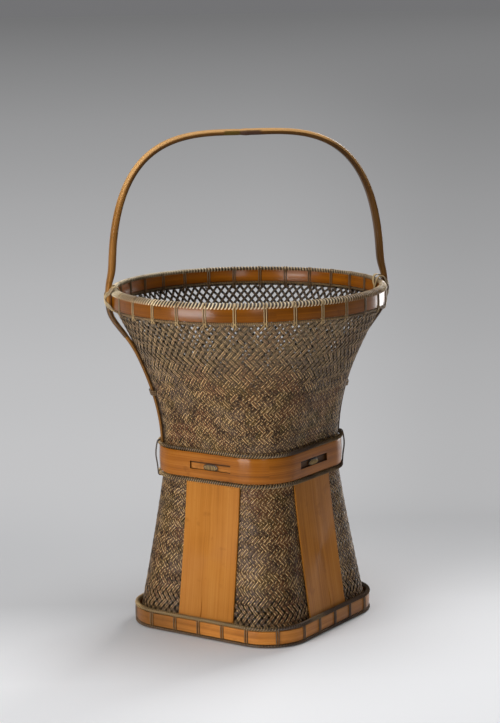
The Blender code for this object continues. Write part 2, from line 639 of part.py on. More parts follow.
def make_rim(finish, cane, parent):
    """Rim: a band outside and inside the wall, each with a thin cane under it."""
    round_hoop("rim_outer_band", band_section(RIM_BAND_INNER, RIM_BAND_OUTER, RIM_BAND_LOW,
                                              BODY_TOP), finish, parent)
    round_hoop("rim_inner_band", band_section(RIM_INNER_BAND_INNER, RIM_INNER_BAND_OUTER,
                                              RIM_INNER_BAND_LOW, BODY_TOP), finish, parent)
    round_hoop("rim_outer_cane", band_section(RIM_BAND_INNER, RIM_BAND_INNER + RIM_CANE_WIDTH,
                                              RIM_CANE_TOP - RIM_CANE_HEIGHT, RIM_CANE_TOP),
               cane, parent)
    round_hoop("rim_inner_cane", band_section(RIM_INNER_BAND_OUTER - RIM_CANE_WIDTH,
                                              RIM_INNER_BAND_OUTER,
                                              RIM_INNER_CANE_TOP - RIM_CANE_HEIGHT,
                                              RIM_INNER_CANE_TOP), cane, parent)


def make_rim_binding(finish, parent):
    """The wound roll on the rim, with paired lashings down both bands at even spaces."""
    section = roll_section(RIM_ROLL_INNER, RIM_ROLL_OUTER, RIM_ROLL_LOW, RIM_ROLL_TOP)
    data = solid("rim_binding", [(hoop_loops(section, 0.0, 0.0), True)])
    roll = new_object("rim_binding", data, finish, parent)
    high = RIM_ROLL_LOW + RIM_ROLL_HEIGHT / 2
    straps = []
    for place in range(RIM_LASHINGS):
        if place % (RIM_LASHINGS // 2) == 0:
            continue
        turn = 2 * math.pi * place / RIM_LASHINGS + RIM_LASHING_TURN
        outward = Vector((math.cos(turn), math.sin(turn), 0))
        straps.append(strap(RIM_BAND_OUTER + CLEARANCE, RIM_CANE_TOP - RIM_CANE_HEIGHT, high,
                            Vector(), outward))
        straps.append(strap(RIM_INNER_BAND_INNER - CLEARANCE, RIM_INNER_BAND_LOW, high,
                            Vector(), outward, -1))
    add_boolean(roll, cutter("rim_lashings", straps, parent), "UNION")


def make_water_tube(finish, parent):
    """The cut bamboo tube that holds the water: its floor is the culm's own joint."""
    low = FLOOR_HEIGHT + BODY_WALL + CLEARANCE
    high = low + TUBE_HEIGHT
    node = low + TUBE_NODE_HEIGHT
    inner = TUBE_RADIUS - TUBE_WALL
    bevel = TUBE_LIP_BEVEL
    profile = ((TUBE_RADIUS - bevel, low), (TUBE_RADIUS, low + bevel),
               (TUBE_RADIUS, node - TUBE_NODE_HALF_LENGTH), (TUBE_RADIUS + TUBE_NODE_RISE, node),
               (TUBE_RADIUS, node + TUBE_NODE_HALF_LENGTH), (TUBE_RADIUS, high - bevel),
               (TUBE_RADIUS - bevel, high), (inner + bevel, high), (inner, high - bevel),
               (inner, low + TUBE_FLOOR))
    loops = []
    for radius, height in profile:
        ring = [2 * math.pi * step / TUBE_SEGMENTS for step in range(TUBE_SEGMENTS)]
        loops.append([Vector((math.cos(turn) * radius, math.sin(turn) * radius, height))
                      for turn in ring])
    new_object("water_tube", solid("water_tube", [(loops, False)]), finish, parent)


def empty(name, place):
    """A named place that carries other objects."""
    made = bpy.data.objects.new(name, None)
    made.location = place
    bpy.context.scene.collection.objects.link(made)
    return made


def clear_scene():
    """Removes what the start-up scene holds."""
    for old in list(bpy.data.objects):
        bpy.data.objects.remove(old)


clear_scene()
plait = material("smoked_strip", (0.10, 0.07, 0.045), 0.55)
bamboo = material("polished_bamboo", (0.42, 0.19, 0.06), 0.32)
slat_bamboo = material("pale_bamboo", (0.52, 0.27, 0.10), 0.4)
cane = material("split_cane", (0.5, 0.38, 0.22), 0.5)
tube_bamboo = material("tube_bamboo", (0.30, 0.22, 0.11), 0.45)

basket = empty("basket", (0, 0, 0))
liner = empty("liner", (0, 0, FLOOR_HEIGHT + BODY_WALL + CLEARANCE))
bpy.context.view_layer.update()

make_body(plait, basket)
make_foot(bamboo, cane, basket)
make_foot_binding(cane, basket)
SIDES = ("back_right", "back_left", "front_left", "front_right")
for number, side_name in enumerate(SIDES):
    make_slat("slat_" + side_name, number, slat_bamboo, basket)
make_waist(bamboo, cane, basket)
for number, side_name in enumerate(SIDES):
    make_window_knot("window_knot_" + side_name, number, cane, basket)
make_handle(bamboo, basket)
for hand, direction in (("right", 1), ("left", -1)):
    make_waist_tie("waist_tie_" + hand, direction, cane, basket)
    make_tail_tie("tail_tie_" + hand, direction, cane, basket)
    make_handle_knot("handle_knot_" + hand, direction, cane, basket)
make_rim(bamboo, cane, basket)
make_rim_binding(cane, basket)
make_water_tube(tube_bamboo, liner)
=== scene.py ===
"""Looks of a plaited bamboo flower basket: square at the foot, cinched at the waist, round at the mouth."""
import math

import bpy
import numpy as np
from mathutils import Matrix, Vector


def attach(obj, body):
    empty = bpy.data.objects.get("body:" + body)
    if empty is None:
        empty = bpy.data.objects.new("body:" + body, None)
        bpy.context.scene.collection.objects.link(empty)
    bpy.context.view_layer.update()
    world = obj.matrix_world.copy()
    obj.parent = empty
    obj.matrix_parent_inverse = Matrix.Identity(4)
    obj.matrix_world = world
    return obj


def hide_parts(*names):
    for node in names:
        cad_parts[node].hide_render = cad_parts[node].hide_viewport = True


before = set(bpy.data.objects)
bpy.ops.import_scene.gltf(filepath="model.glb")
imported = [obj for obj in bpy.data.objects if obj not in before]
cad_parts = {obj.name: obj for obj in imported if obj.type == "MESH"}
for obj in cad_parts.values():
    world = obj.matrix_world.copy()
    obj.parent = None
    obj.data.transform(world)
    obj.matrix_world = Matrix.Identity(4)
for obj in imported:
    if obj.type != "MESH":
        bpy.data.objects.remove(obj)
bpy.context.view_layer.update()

# Plaited body
# A hundred smoked bamboo strips lean each way and cross two over and two under, and one over and one
# under in the open plait below the rim. They run on under the foot and are woven into its floor.

ROOT_TWO = math.sqrt(2.0)
SIDE_SHARE = ROOT_TWO - 1.0
UPWARD = np.array([0.0, 0.0, 1.0])
CLEARANCE = 0.0003
FLOOR_HEIGHT, BODY_TOP = 0.0065, 0.343
FOOT_REACH, WAIST_REACH, MOUTH_RADIUS = 0.1205, 0.0912, 0.1377
FOOT_FLAT, WAIST_FLAT = 0.0575, 0.0369
WAIST_LOW, WAIST_HIGH, MOUTH_HEIGHT = 0.157, 0.187, 0.3285
WAIST_MIDDLE = (WAIST_LOW + WAIST_HIGH) / 2
FLARE_BEND = 0.85 * (MOUTH_HEIGHT - WAIST_HIGH)
FOOT_FLARE_POWER = 1.12
STRIPS = 100                        # leaning each way
STRIP_WIDTHS = (0.0041, 0.0036, 0.0030, 0.0026)
STRIP_WIDTH_HEIGHTS = (0.235, 0.265, 0.29, 0.305)
STRIP_FILL = 0.84                   # of the space between two strips, where they lie closer than that
FOOT_FILL_LOSS, FOOT_FILL_TOP, FOOT_FILL_RUN = 0.3, 0.06, 0.03
STRIP_THICKNESS = 0.0008
STRIP_DEPTH = 0.001                 # the plait's middle, inwards from the wall's outer face
STRIP_LIFT = 0.0006                 # how far a strip rises or dips at a crossing
LEAN_GAIN, LEAN_RUN = 0.28, 0.12    # the strips stand steeper away from the waist
OPEN_PLAIT_HEIGHT = 0.292
STEPS_PER_ROW = 4
STRIP_PROFILE = np.array([(-0.5, -0.5), (0.5, -0.5), (0.5, 0.2), (0.0, 0.5), (-0.5, 0.2)])


def corner_reach(height):
    """Distance from the axis to the wall at a corner: a power curve up to the waist, then a hyperbola."""
    drop = np.clip((WAIST_LOW - height) / WAIST_LOW, 0.0, 1.0)
    rise = np.clip(height - WAIST_HIGH, 0.0, MOUTH_HEIGHT - WAIST_HIGH)
    full = math.hypot(MOUTH_HEIGHT - WAIST_HIGH, FLARE_BEND) - FLARE_BEND
    flare = (np.hypot(rise, FLARE_BEND) - FLARE_BEND) / full
    return (WAIST_REACH + (FOOT_REACH - WAIST_REACH) * drop ** FOOT_FLARE_POWER
            + (MOUTH_RADIUS - WAIST_REACH) * flare)


def side_flat(height):
    """Half of a side's straight stretch: grows from the waist to the foot and dies out at the mouth."""
    drop = np.clip((WAIST_LOW - height) / WAIST_LOW, 0.0, 1.0)
    rise = np.clip((height - WAIST_HIGH) / (MOUTH_HEIGHT - WAIST_HIGH), 0.0, 1.0)
    return WAIST_FLAT + (FOOT_FLAT - WAIST_FLAT) * drop - WAIST_FLAT * rise


def girth(reach, flat):
    """Length of a rounded square's outline: a full turn of arc and eight half sides."""
    return 2 * math.pi * (reach - flat * ROOT_TWO) + 8 * flat


def round_square(share, reach, flat):
    """Rounded square with its corners on the X and Y axes, at a share of the way round from -Y.

    A side is an eighth turn of arc, a straight run and another eighth turn. Returns x, y and the
    angle of the outward direction."""
    radius = reach - flat * ROOT_TWO
    arc = radius * math.pi / 4
    side = np.floor(share * 4)
    along = (share * 4 - side) * (2 * arc + 2 * flat)
    start = (side - 1) * math.pi / 2
    middle = start + math.pi / 4
    bend = np.clip(along / arc, 0.0, 1.0) + np.clip((along - arc - 2 * flat) / arc, 0.0, 1.0)
    turn = start + bend * math.pi / 4
    slide = np.clip(along - arc, 0.0, 2 * flat)
    x = np.cos(start) * flat * ROOT_TWO - np.sin(middle) * slide + np.cos(turn) * radius
    y = np.sin(start) * flat * ROOT_TWO + np.cos(middle) * slide + np.sin(turn) * radius
    return x, y, turn


def stacked(*parts):
    """Arrays or numbers joined as the last axis of one array."""
    return np.stack(np.broadcast_arrays(*parts), axis=-1).astype(float)


def level_way(turn):
    """The level direction at an angle from +X."""
    return stacked(np.cos(turn), np.sin(turn), 0.0)


def unit(vectors):
    """Vectors scaled to length one."""
    return vectors / np.linalg.norm(vectors, axis=-1, keepdims=True)


def on_wall(share, height):
    """Points of the wall's outer face."""
    x, y, _ = round_square(share, corner_reach(height), side_flat(height))
    return stacked(x, y, height)


def wall_facing(share, height):
    """Direction that the wall faces: its level direction crossed with its upward direction."""
    small = 0.0005
    level = on_wall(share + small, height) - on_wall(share - small, height)
    upward = on_wall(share, height + small) - on_wall(share, height - small)
    return unit(np.cross(level, upward))


def carried(centre, facing, profile, closed=False):
    """A profile carried along paths.

    centre and facing hold paths x steps points and the directions that the outer face looks in.
    The way along is the slope of the points, side = facing x along, lift = along x side, and a
    profile point (a, b) lies at centre + a side + b lift."""
    if closed:
        along = unit(np.roll(centre, -1, axis=1) - np.roll(centre, 1, axis=1))
    else:
        along = unit(np.gradient(centre, axis=1))
    side = unit(np.cross(facing, along))
    lift = np.cross(along, side)
    profile = np.broadcast_to(profile, centre.shape[:2] + np.shape(profile)[-2:])
    return (centre[:, :, None, :] + profile[..., :1] * side[:, :, None, :]
            + profile[..., 1:] * lift[:, :, None, :])


def add_piece(name, points, finish, slot, node, body="basket", closed=False, first=0, smooth=38.0, **values):
    """A mesh over carried profiles: quads between neighbours, and a cap on each open end.

    The UV map holds metres along the path, and the path's number plus the share of the way round
    the profile. Each further value is kept as a point attribute: one number for each step."""
    paths, steps, columns = points.shape[:3]
    number = np.arange(paths * steps * columns).reshape(paths, steps, columns)
    here = number if closed else number[:, :-1]
    after = np.roll(number, -1, axis=1) if closed else number[:, 1:]
    quads = stacked(here, np.roll(here, -1, axis=2), np.roll(after, -1, axis=2), after)
    centre = points.mean(axis=2)
    ahead = np.roll(centre, -1, axis=1) if closed else centre[:, 1:]
    stretch = np.linalg.norm(ahead - (centre if closed else centre[:, :-1]), axis=-1)
    length = np.concatenate([np.zeros((paths, 1)), np.cumsum(stretch, axis=1)], axis=1)
    share = np.arange(columns + 1) / columns * 0.98 + 0.01
    low, high = length[:, :-1, None], length[:, 1:, None]
    across = stacked(share[:-1], share[1:], share[1:], share[:-1])
    across = across + (np.arange(paths) + first)[:, None, None, None]
    maps = [stacked(stacked(low, low, high, high), across).reshape(-1, 2)]
    corners = [quads.astype(int).ravel()]
    starts = [np.arange(quads.size // 4) * 4]
    if not closed:
        corners.append(np.concatenate([number[:, 0, ::-1], number[:, -1]]).ravel())
        starts.append(quads.size + np.arange(2 * paths) * columns)
        ends = np.concatenate([length[:, 0], length[:, -1]])
        which = np.tile(np.arange(paths), 2) + first + 0.5
        maps.append(np.repeat(stacked(ends, which), columns, axis=0))
    corners, starts, maps = (np.concatenate(part) for part in (corners, starts, maps))
    mesh = bpy.data.meshes.new(name)
    mesh.vertices.add(number.size)
    mesh.vertices.foreach_set("co", points.ravel())
    mesh.loops.add(len(corners))
    mesh.loops.foreach_set("vertex_index", corners)
    mesh.polygons.add(len(starts))
    mesh.polygons.foreach_set("loop_start", starts)
    mesh.uv_layers.new(name="UVMap").uv.foreach_set("vector", maps.ravel())
    mesh.update(calc_edges=True)
    for value_name, value in values.items():
        kept = mesh.attributes.new(value_name, "FLOAT", "POINT")
        kept.data.foreach_set("value", np.repeat(value.ravel(), columns))
    return finished(name, mesh, finish, node, body, smooth)


def finished(name, mesh, finish, node, body, smooth):
    """The object of a mesh, shaded smooth except at its edges, riding on its body in a node's place."""
    mesh.shade_smooth()
    mesh.set_sharp_from_angle(angle=math.radians(smooth))
    mesh.materials.append(finish)
    piece = bpy.data.objects.new(name, mesh)
    bpy.context.scene.collection.objects.link(piece)
    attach(piece, body)
    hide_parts(node)
    return piece


def paint(red, green, blue):
    """A colour as it is read off a screen, in the shader's own scale."""
    levels = np.array([red, green, blue]) / 255
    return (*np.where(levels > 0.04045, ((levels + 0.055) / 1.055) ** 2.4, levels / 12.92).tolist(), 1.0)


class Socket:
    """A shader socket in Python expressions: every operator adds one Math node."""

    def __init__(self, finish, link):
        self.finish = finish
        self.link = link

    def maths(self, operation, first, second=0.0):
        return self.finish.node("ShaderNodeMath", {"operation": operation}, {0: first, 1: second})

    def __add__(self, other):
        return self.maths("ADD", self, other)

    def __sub__(self, other):
        return self.maths("SUBTRACT", self, other)

    def __rsub__(self, other):
        return self.maths("SUBTRACT", other, self)

    def __mul__(self, other):
        return self.maths("MULTIPLY", self, other)

    def __truediv__(self, other):
        return self.maths("DIVIDE", self, other)

    def __rtruediv__(self, other):
        return self.maths("DIVIDE", other, self)

    __radd__ = __add__
    __rmul__ = __mul__

    def whole(self):
        """The whole number below."""
        return self.maths("FLOOR", self)

    def size(self):
        """The number without its sign."""
        return self.maths("ABSOLUTE", self)

    def kept(self):
        """The number held between nought and one."""
        return self.finish.node("ShaderNodeClamp", {}, {0: self})


class Finish:
    """A material in the making, with its Principled shader."""

    def __init__(self, name, **constants):
        self.material = bpy.data.materials.new(name)
        self.material.use_nodes = True
        self.tree = self.material.node_tree
        self.shader = self.tree.nodes["Principled BSDF"]
        for socket, value in constants.items():
            self.shader.inputs[socket.replace("_", " ")].default_value = value

    def node(self, kind, settings, sockets, output=0):
        """Adds a node: its settings first, then the values or links of its sockets."""
        made = self.tree.nodes.new(kind)
        for name, value in settings.items():
            if name == "stops":
                ramp = made.color_ramp.elements
                while len(ramp) < len(value):
                    ramp.new(1.0)
                for element, (position, colour) in zip(ramp, value):
                    element.position = position
                    element.color = colour
            else:
                setattr(made, name, value)
        self.feed(made, sockets)
        return Socket(self, made.outputs[output])

    def feed(self, made, sockets):
        """Links or sets a node's sockets."""
        for name, value in sockets.items():
            if isinstance(value, Socket):
                self.tree.links.new(value.link, made.inputs[name])
            else:
                made.inputs[name].default_value = value

    def place(self):
        """The point's own place, in metres."""
        return self.node("ShaderNodeTexCoord", {}, {}, 3)

    def value(self, name):
        """A number kept at the mesh's points."""
        return self.node("ShaderNodeAttribute", {"attribute_name": name}, {}, 2)

    def part(self, vector, axis):
        """One of a vector's three numbers."""
        return self.node("ShaderNodeSeparateXYZ", {}, {0: vector}, axis)

    def point(self, x, y, z):
        """Three numbers as a vector."""
        return self.node("ShaderNodeCombineXYZ", {}, {0: x, 1: y, 2: z})

    def noise(self, vector, scale, detail):
        """Cloudy variation between nought and one."""
        return self.node("ShaderNodeTexNoise", {}, {"Vector": vector, "Scale": scale, "Detail": detail})

    def between(self, value, low, high):
        """Nought below low, one above high, and a smooth rise between."""
        return self.node("ShaderNodeMapRange", {"interpolation_type": "SMOOTHSTEP"},
                         {0: value, 1: low, 2: high, 3: 0.0, 4: 1.0})

    def ramp(self, level, stops):
        """A colour read off stops at a level."""
        return self.node("ShaderNodeValToRGB", {"stops": stops}, {0: level})

    def mixed(self, mask, first, second):
        """One colour over another where the mask is one."""
        return self.node("ShaderNodeMix", {"data_type": "RGBA"}, {0: mask, 6: first, 7: second}, 2)

    def tinted(self, colour, *tints):
        """Tints laid over a colour one after the other, each where its mask is one."""
        for mask, tint in tints:
            colour = self.mixed(mask, colour, paint(*tint))
        return colour

    def strand(self):
        """Metres along the strand, its number, the share of the way round it, and a chance value."""
        coordinates = self.node("ShaderNodeTexCoord", {}, {}, 2)
        length, code = self.part(coordinates, 0), self.part(coordinates, 1)
        number = code.whole()
        chance = self.node("ShaderNodeTexWhiteNoise", {"noise_dimensions": "1D"}, {"W": number})
        return length, number, code - number, chance

    def done(self, colour, roughness, height, depth):
        """Feeds the shader with a colour, a roughness, and a relief of the given depth."""
        bump = self.node("ShaderNodeBump", {}, {"Height": height, "Distance": depth, "Strength": 1.0})
        self.feed(self.shader, {"Base Color": colour, "Roughness": roughness, "Normal": bump})
        return self.material


def smoked_finish():
    """Smoked strip: brown skin with paler streaks, mossy, rosy and grey clouds, pale cut edges.

    The edges are brighter on the left and at the crossings, flecked with glints, a painted highlight.
    A strip is near black with painted shade where it dips under the others and on its sides, seen from
    either side, and has a painted shadow beside the handle's tails. It is browner below the waist and
    paler towards the rim, and its inner face is paler under the rim with painted light. Each short
    length between two crossings has a tone of its own."""
    made = Finish("smoked_strip", IOR=1.5, Specular_IOR_Level=0.2)
    length, number, across, chance = made.strand()
    rise, tone, over = (made.value(name) for name in ("rise", "tone", "over"))
    place = made.place()
    y, z = made.part(place, 1), made.part(place, 2)
    streak = made.noise(made.point(length * 45.0, across * 9.0, number * 3.7), 1.0, 3.0)
    fleck = made.noise(made.point(length * 650.0, across * 3.0, number * 7.3), 1.0, 3.0)
    cloud, wide_cloud = made.noise(place, 58.0, 3.0), made.noise(place, 27.0, 2.0)
    level = (chance * 0.2 + tone * 0.3 + streak * 0.7 + fleck * 2.0 + over * 0.12 - 1.25).kept()
    low = 1.0 - made.between(z, 0.13, 0.19)
    colour = made.tinted(made.mixed(level, paint(44, 27, 14), paint(126, 90, 54)),
                         (made.between(cloud, 0.5, 0.62) * 0.5, (84, 66, 24)),
                         (made.between(wide_cloud, 0.52, 0.62) * 0.4, (104, 58, 32)),
                         ((1.0 - made.between(wide_cloud, 0.38, 0.46)) * 0.4, (96, 80, 70)),
                         (made.between(z, 0.24, 0.31) * 0.32, (166, 142, 112)),
                         (low * 0.22, (66, 38, 12)))
    # Pale cut edges: partly the strip's own paler edge, and partly painted highlight, brighter on the left
    # side where the light falls and flecked with glints at the crossings.
    bend = across - 0.6
    lit = (tone * 0.8 + fleck * 2.4 + over * 0.5 - 1.1).kept()
    edge = made.between(bend.size(), 0.12, 0.14) * (made.between(0.0 - bend, -0.05, 0.05) * 0.3 + 0.7) * lit
    # Painted shadow of the handle's tails on the plait beside them.
    painted_tail_shadow = (1.0 - made.between(y.size(), 0.007, 0.014)) * made.between(z, 0.18, 0.19)
    colour = made.tinted(colour, (edge * (1.0 - low * 0.12), (232, 192, 134)),
                         (painted_tail_shadow * (1.0 - made.between(z, 0.3, 0.32)) * 0.75, (36, 22, 10)))
    # Painted shade: near black where the strip dips under the others and on its sides in the gaps, less of it
    # higher up.
    painted_shade = (1.0 - made.between(rise, -0.4, 0.35)) * (0.85 - made.between(z, 0.19, 0.25) * 0.4)
    unshaded = (1.0 - painted_shade) * (1.0 - made.between(bend.size(), 0.19, 0.2))
    colour = made.mixed(unshaded, paint(28, 20, 13), colour)
    # The inner face has its own duller colour, painted paler between the waist and the rim with painted light
    # falling in at the mouth.
    inside = (1.0 - made.between(across, 0.19, 0.21)) * (1.0 - made.between(rise, -0.5, 0.5))
    upper = made.between(z, 0.18, 0.23) * (1.0 - made.between(z, 0.3, 0.312))
    colour = made.mixed(inside, colour, made.mixed(upper, paint(86, 70, 54), paint(134, 116, 90)))
    return made.done(colour, 0.62 - streak * 0.25 - tone * 0.12, streak + fleck * 0.5, 0.00018)


def twill(order):
    """Rise and dip of a strip at two crossings over and two under: a cosine with steepened turns."""
    return np.tanh(2.2 * np.cos(math.pi * (order - 0.5) / 2))


smoked_strip = smoked_finish()

heights = np.linspace(FLOOR_HEIGHT + STRIP_LIFT, BODY_TOP, 1500)
pitches = girth(corner_reach(heights), side_flat(heights)) / STRIPS
leans = 1.0 + LEAN_GAIN * np.clip(np.abs(heights - WAIST_MIDDLE) / LEAN_RUN, 0.0, 1.0)
slopes = np.hypot(1.0, np.gradient(pitches * STRIPS / (2 * math.pi), heights))
rates = slopes / (pitches / 2 * leans)
rows = np.concatenate([[0.0], np.cumsum((rates[1:] + rates[:-1]) / 2 * np.diff(heights))])
row = np.linspace(0.0, rows[-1], int(rows[-1] * STEPS_PER_ROW))
row_height = np.interp(row, rows, heights)
open_row = 4 * math.floor(np.interp(OPEN_PLAIT_HEIGHT, heights, rows) / 4) + 1.5
wave = np.where(row < open_row, twill(row), -np.cos(math.pi * row))
spacing = np.interp(row, rows, pitches * leans / np.hypot(1.0, leans))
fill = STRIP_FILL - FOOT_FILL_LOSS * np.clip((FOOT_FILL_TOP - row_height) / FOOT_FILL_RUN, 0.0, 1.0)
strip_width = np.minimum(np.interp(row_height, STRIP_WIDTH_HEIGHTS, STRIP_WIDTHS), spacing * fill)
rng = np.random.default_rng(7)

for lean_name, lean_sign in (("rising", 1), ("falling", -1)):
    for half_name, first_strip in (("first", 0), ("second", STRIPS // 2)):
        strip = np.arange(STRIPS // 2)[:, None]
        sway = (0.04 * np.sin(row * 0.11 + rng.uniform(0, 6.3, strip.shape))
                + 0.03 * np.sin(row * 0.31 + rng.uniform(0, 6.3, strip.shape)))
        share = (strip + first_strip + lean_sign * row / 2 + sway) / STRIPS
        facing = wall_facing(share, row_height)
        rise = lean_sign * wave * rng.uniform(0.85, 1.1, strip.shape)
        float_tones = rng.uniform(0.0, 1.0, (STRIPS // 2, int(rows[-1]) + 2)) ** 1.4
        float_number = np.broadcast_to(np.floor(row / 2 + 0.25).astype(int), share.shape)
        middle = on_wall(share, row_height) + facing * (rise * STRIP_LIFT - STRIP_DEPTH)[..., None]
        sizes = stacked(strip_width * rng.uniform(0.93, 1.03, strip.shape), STRIP_THICKNESS)
        # over is highest at each crossing, where the strip and its edges are painted lighter, a painted
        # highlight.
        add_piece("body_strips_" + lean_name + "_" + half_name,
                  carried(middle, facing, STRIP_PROFILE * sizes[:, :, None, :]),
                  smoked_strip, "smoked_strip", "woven_body",
                  first=first_strip + (0 if lean_sign > 0 else STRIPS), rise=rise,
                  tone=np.take_along_axis(float_tones, float_number, 1),
                  over=np.broadcast_to(np.cos(2 * math.pi * row), share.shape))

# Plaited floor
# Under the foot the strips lie flat and cross square to the sides, two over and two under. The mat
# fills the rounded square of the wall and carries the water tube.

FLOOR_MIDDLE = FLOOR_HEIGHT + STRIP_DEPTH
FLOOR_PITCH, FLOOR_LIFT, FLOOR_INSET = 0.0056, 0.0003, 0.0012
FLOOR_STRIP = (0.0047, 0.0006)      # width and thickness
floor_reach, floor_flat = corner_reach(FLOOR_MIDDLE) - FLOOR_INSET, side_flat(FLOOR_MIDDLE)
floor_radius = floor_reach - floor_flat * ROOT_TWO
floor_count = int(2 * (floor_reach - floor_flat * SIDE_SHARE) / FLOOR_PITCH)
lane = (np.arange(floor_count) - (floor_count - 1) / 2)[:, None]
beyond = np.clip(np.abs(lane) * FLOOR_PITCH - floor_flat, 0.0, floor_radius)
half_run = floor_flat + np.sqrt(floor_radius ** 2 - beyond ** 2)
run = np.linspace(-1.0, 1.0, floor_count * STEPS_PER_ROW)[None, :] * half_run
floor_wave = twill(lane + run / FLOOR_PITCH + floor_count)
tracks, rises = [], []
for turn, sign in ((math.pi / 4, 1), (3 * math.pi / 4, -1)):
    sideways = level_way(turn - math.pi / 2) * -sign
    tracks.append(level_way(turn) * run[..., None] + sideways * (lane * FLOOR_PITCH)[..., None]
                  + UPWARD * (FLOOR_MIDDLE + sign * floor_wave * FLOOR_LIFT)[..., None])
    rises.append(-sign * floor_wave)
track = np.concatenate(tracks)
add_piece("plaited_floor", carried(track, -UPWARD, STRIP_PROFILE * FLOOR_STRIP),
          smoked_strip, "smoked_strip", "woven_body", first=2 * STRIPS, rise=np.concatenate(rises),
          tone=rng.uniform(0.2, 0.7, track.shape[:2]), over=np.zeros(track.shape[:2]))

# Foot hoop and battens
# A split bamboo hoop stands inside the foot band, and two flat battens cross under the floor and
# stiffen it. They are plain polished bamboo, only seen from below.

FOOT_REFERENCE = 0.01
HOOP_HEIGHTS, HOOP_OFFSETS = (0.0, 0.0062), (-0.0006, 0.0018)
BATTEN_HALF_WIDTH, BATTEN_THICKNESS = 0.007, 0.0018
BATTENS = (("upper_batten", 1, 0.0062), ("lower_batten", 3, 0.0041))     # eighths of a turn, and top
foot_outline = corner_reach(FOOT_REFERENCE), side_flat(FOOT_REFERENCE)


def bamboo_finish(name, pale, middle, dark, fine, broad, gloss, coat, stain_and_shade=None):
    """Polished bamboo: fine fibres along the piece, cloudy ageing and a thin glossy skin.

    fine and broad are the counts of fibres and of wider streaks round the strip. The stain function
    paints stains, and painted light and shade, over the colour by x, z and the share of the way round
    the strip."""
    made = Finish(name, IOR=1.5, Specular_IOR_Level=0.1, Coat_Weight=coat, Coat_Roughness=0.17,
                  Anisotropic=0.8, Anisotropic_Rotation=0.25)
    length, number, across, chance = made.strand()
    place = made.place()
    fibre = made.noise(made.point(length * 9.0, across * fine, number), 1.0, 3.0)
    streak = made.noise(made.point(length * 4.0, across * broad, number + 7.0), 1.0, 2.0)
    cloud = made.noise(place, 22.0, 3.0)
    level = (fibre * 0.8 + streak * 0.8 + cloud * 0.5 + chance * 0.1 - 0.65).kept()
    colour = made.ramp(level, ((0.0, paint(*dark)), (0.45, paint(*middle)), (1.0, paint(*pale))))
    colour = made.tinted(colour, (made.between(made.noise(place, 75.0, 3.0), 0.62, 0.72) * 0.3, dark))
    if stain_and_shade:
        colour = stain_and_shade(made, colour, made.part(place, 0), made.part(place, 2), across)
    return made.done(colour, streak * 0.2 + cloud * 0.12 + gloss - 0.15, fibre + streak, 0.00012)


polished_bamboo = bamboo_finish("polished_bamboo", (184, 116, 42), (150, 86, 14), (92, 46, 2),
                                60.0, 12.0, 0.36, 0.32)


def strip_profile(heights, offsets, edge=0.0003, crown=0.0, lean=0.0):
    """A flat strip seen from its end, as heights and offsets: chamfered edges and crowned faces.

    A face stands proud by crown x (1 - square of the share of the way to its edge), and the inner
    one leans outwards by lean from its middle to its top."""
    (low, high), (inner, outer) = heights, offsets
    share = np.linspace(-1.0, 1.0, 7)
    rise = (low + high) / 2 + ((high - low) / 2 - edge) * share
    bulge = crown * (1.0 - share ** 2)
    return np.concatenate([stacked(rise, inner - bulge + lean * share),
                           [(high, inner + edge), (high, outer - edge)],
                           stacked(rise[::-1], outer + bulge),
                           [(low, outer - edge), (low, inner + edge)]])


def round_path(outline, steps):
    """Points round an outline at no height, with the outward directions."""
    x, y, turn = round_square(np.arange(steps)[None, :] / steps, *outline)
    return stacked(x, y, 0.0), level_way(turn)


def add_band(name, outline, profile, finish, node):
    """A hoop of strip, its profile carried round the outline."""
    centre, facing = round_path(outline, 480)
    add_piece(name, carried(centre, facing, profile, True), finish, "polished_bamboo", node, closed=True)


add_band("foot_inner_hoop", foot_outline, strip_profile(HOOP_HEIGHTS, HOOP_OFFSETS), polished_bamboo,
         "foot_hoop")

batten_half = foot_outline[0] + HOOP_OFFSETS[0] - foot_outline[1] * SIDE_SHARE - CLEARANCE
batten_profile = strip_profile((-BATTEN_HALF_WIDTH, BATTEN_HALF_WIDTH), (0.0, BATTEN_THICKNESS))
for batten_name, eighths, batten_top in BATTENS:
    centre = np.linspace(-batten_half, batten_half, 24)[None, :, None] * level_way(eighths * math.pi / 4)
    centre = centre + UPWARD * (batten_top - BATTEN_THICKNESS)
    add_piece("crossed_" + batten_name, carried(centre, UPWARD, batten_profile),
              polished_bamboo, "polished_bamboo", batten_name, first=eighths)

# Slats
# A broad, flat slat of split bamboo stands up the middle of each side, held by the waist roll above
# and the foot band below. Its fibres run upright, and it has split a little way up from its foot.

SIDES = ("back_right", "back_left", "front_left", "front_right")
SLAT_BOTTOM, SLAT_TOP = 0.012, 0.1575
SLAT_HALF_WIDTHS = (0.03325, 0.03225)     # at the bottom and at the top
SLAT_SHIFT, SLAT_THICKNESS, SLAT_EDGE = 0.006, 0.0015, 0.0005
SPLIT_REACH, SPLIT_TAPER = 0.028, 0.022
SPLIT_HALF, SPLIT_GROWTH, SPLIT_DEPTH = 0.00005, 0.00055, 0.0013
SPLITS = (0.003, -0.004, 0.006, -0.006)   # from a slat's middle, to the right as seen from inside
# A dark brown for dirt and for painted shade.
DIRT_AND_SHADE = (46, 30, 16)


def slat_foot_browning_and_shade(made, colour, x, z, across):
    """The slats are a little browner towards the foot, and take painted shade on the right under the waist.
    """
    foot, right = 1.0 - made.between(z, 0.01, 0.09), made.between(x, 0.0, 0.02) * made.between(z, 0.08, 0.16)
    return made.tinted(colour, (foot * 0.14 + right * 0.12, DIRT_AND_SHADE))


def side_ways(number):
    """The direction that a side faces, and the level one along it that leads away from the handle."""
    facing = level_way(math.pi / 4 + number * math.pi / 2)
    across = stacked(-facing[1], facing[0], 0.0)
    return facing, across * math.copysign(1.0, across[1] * facing[1])


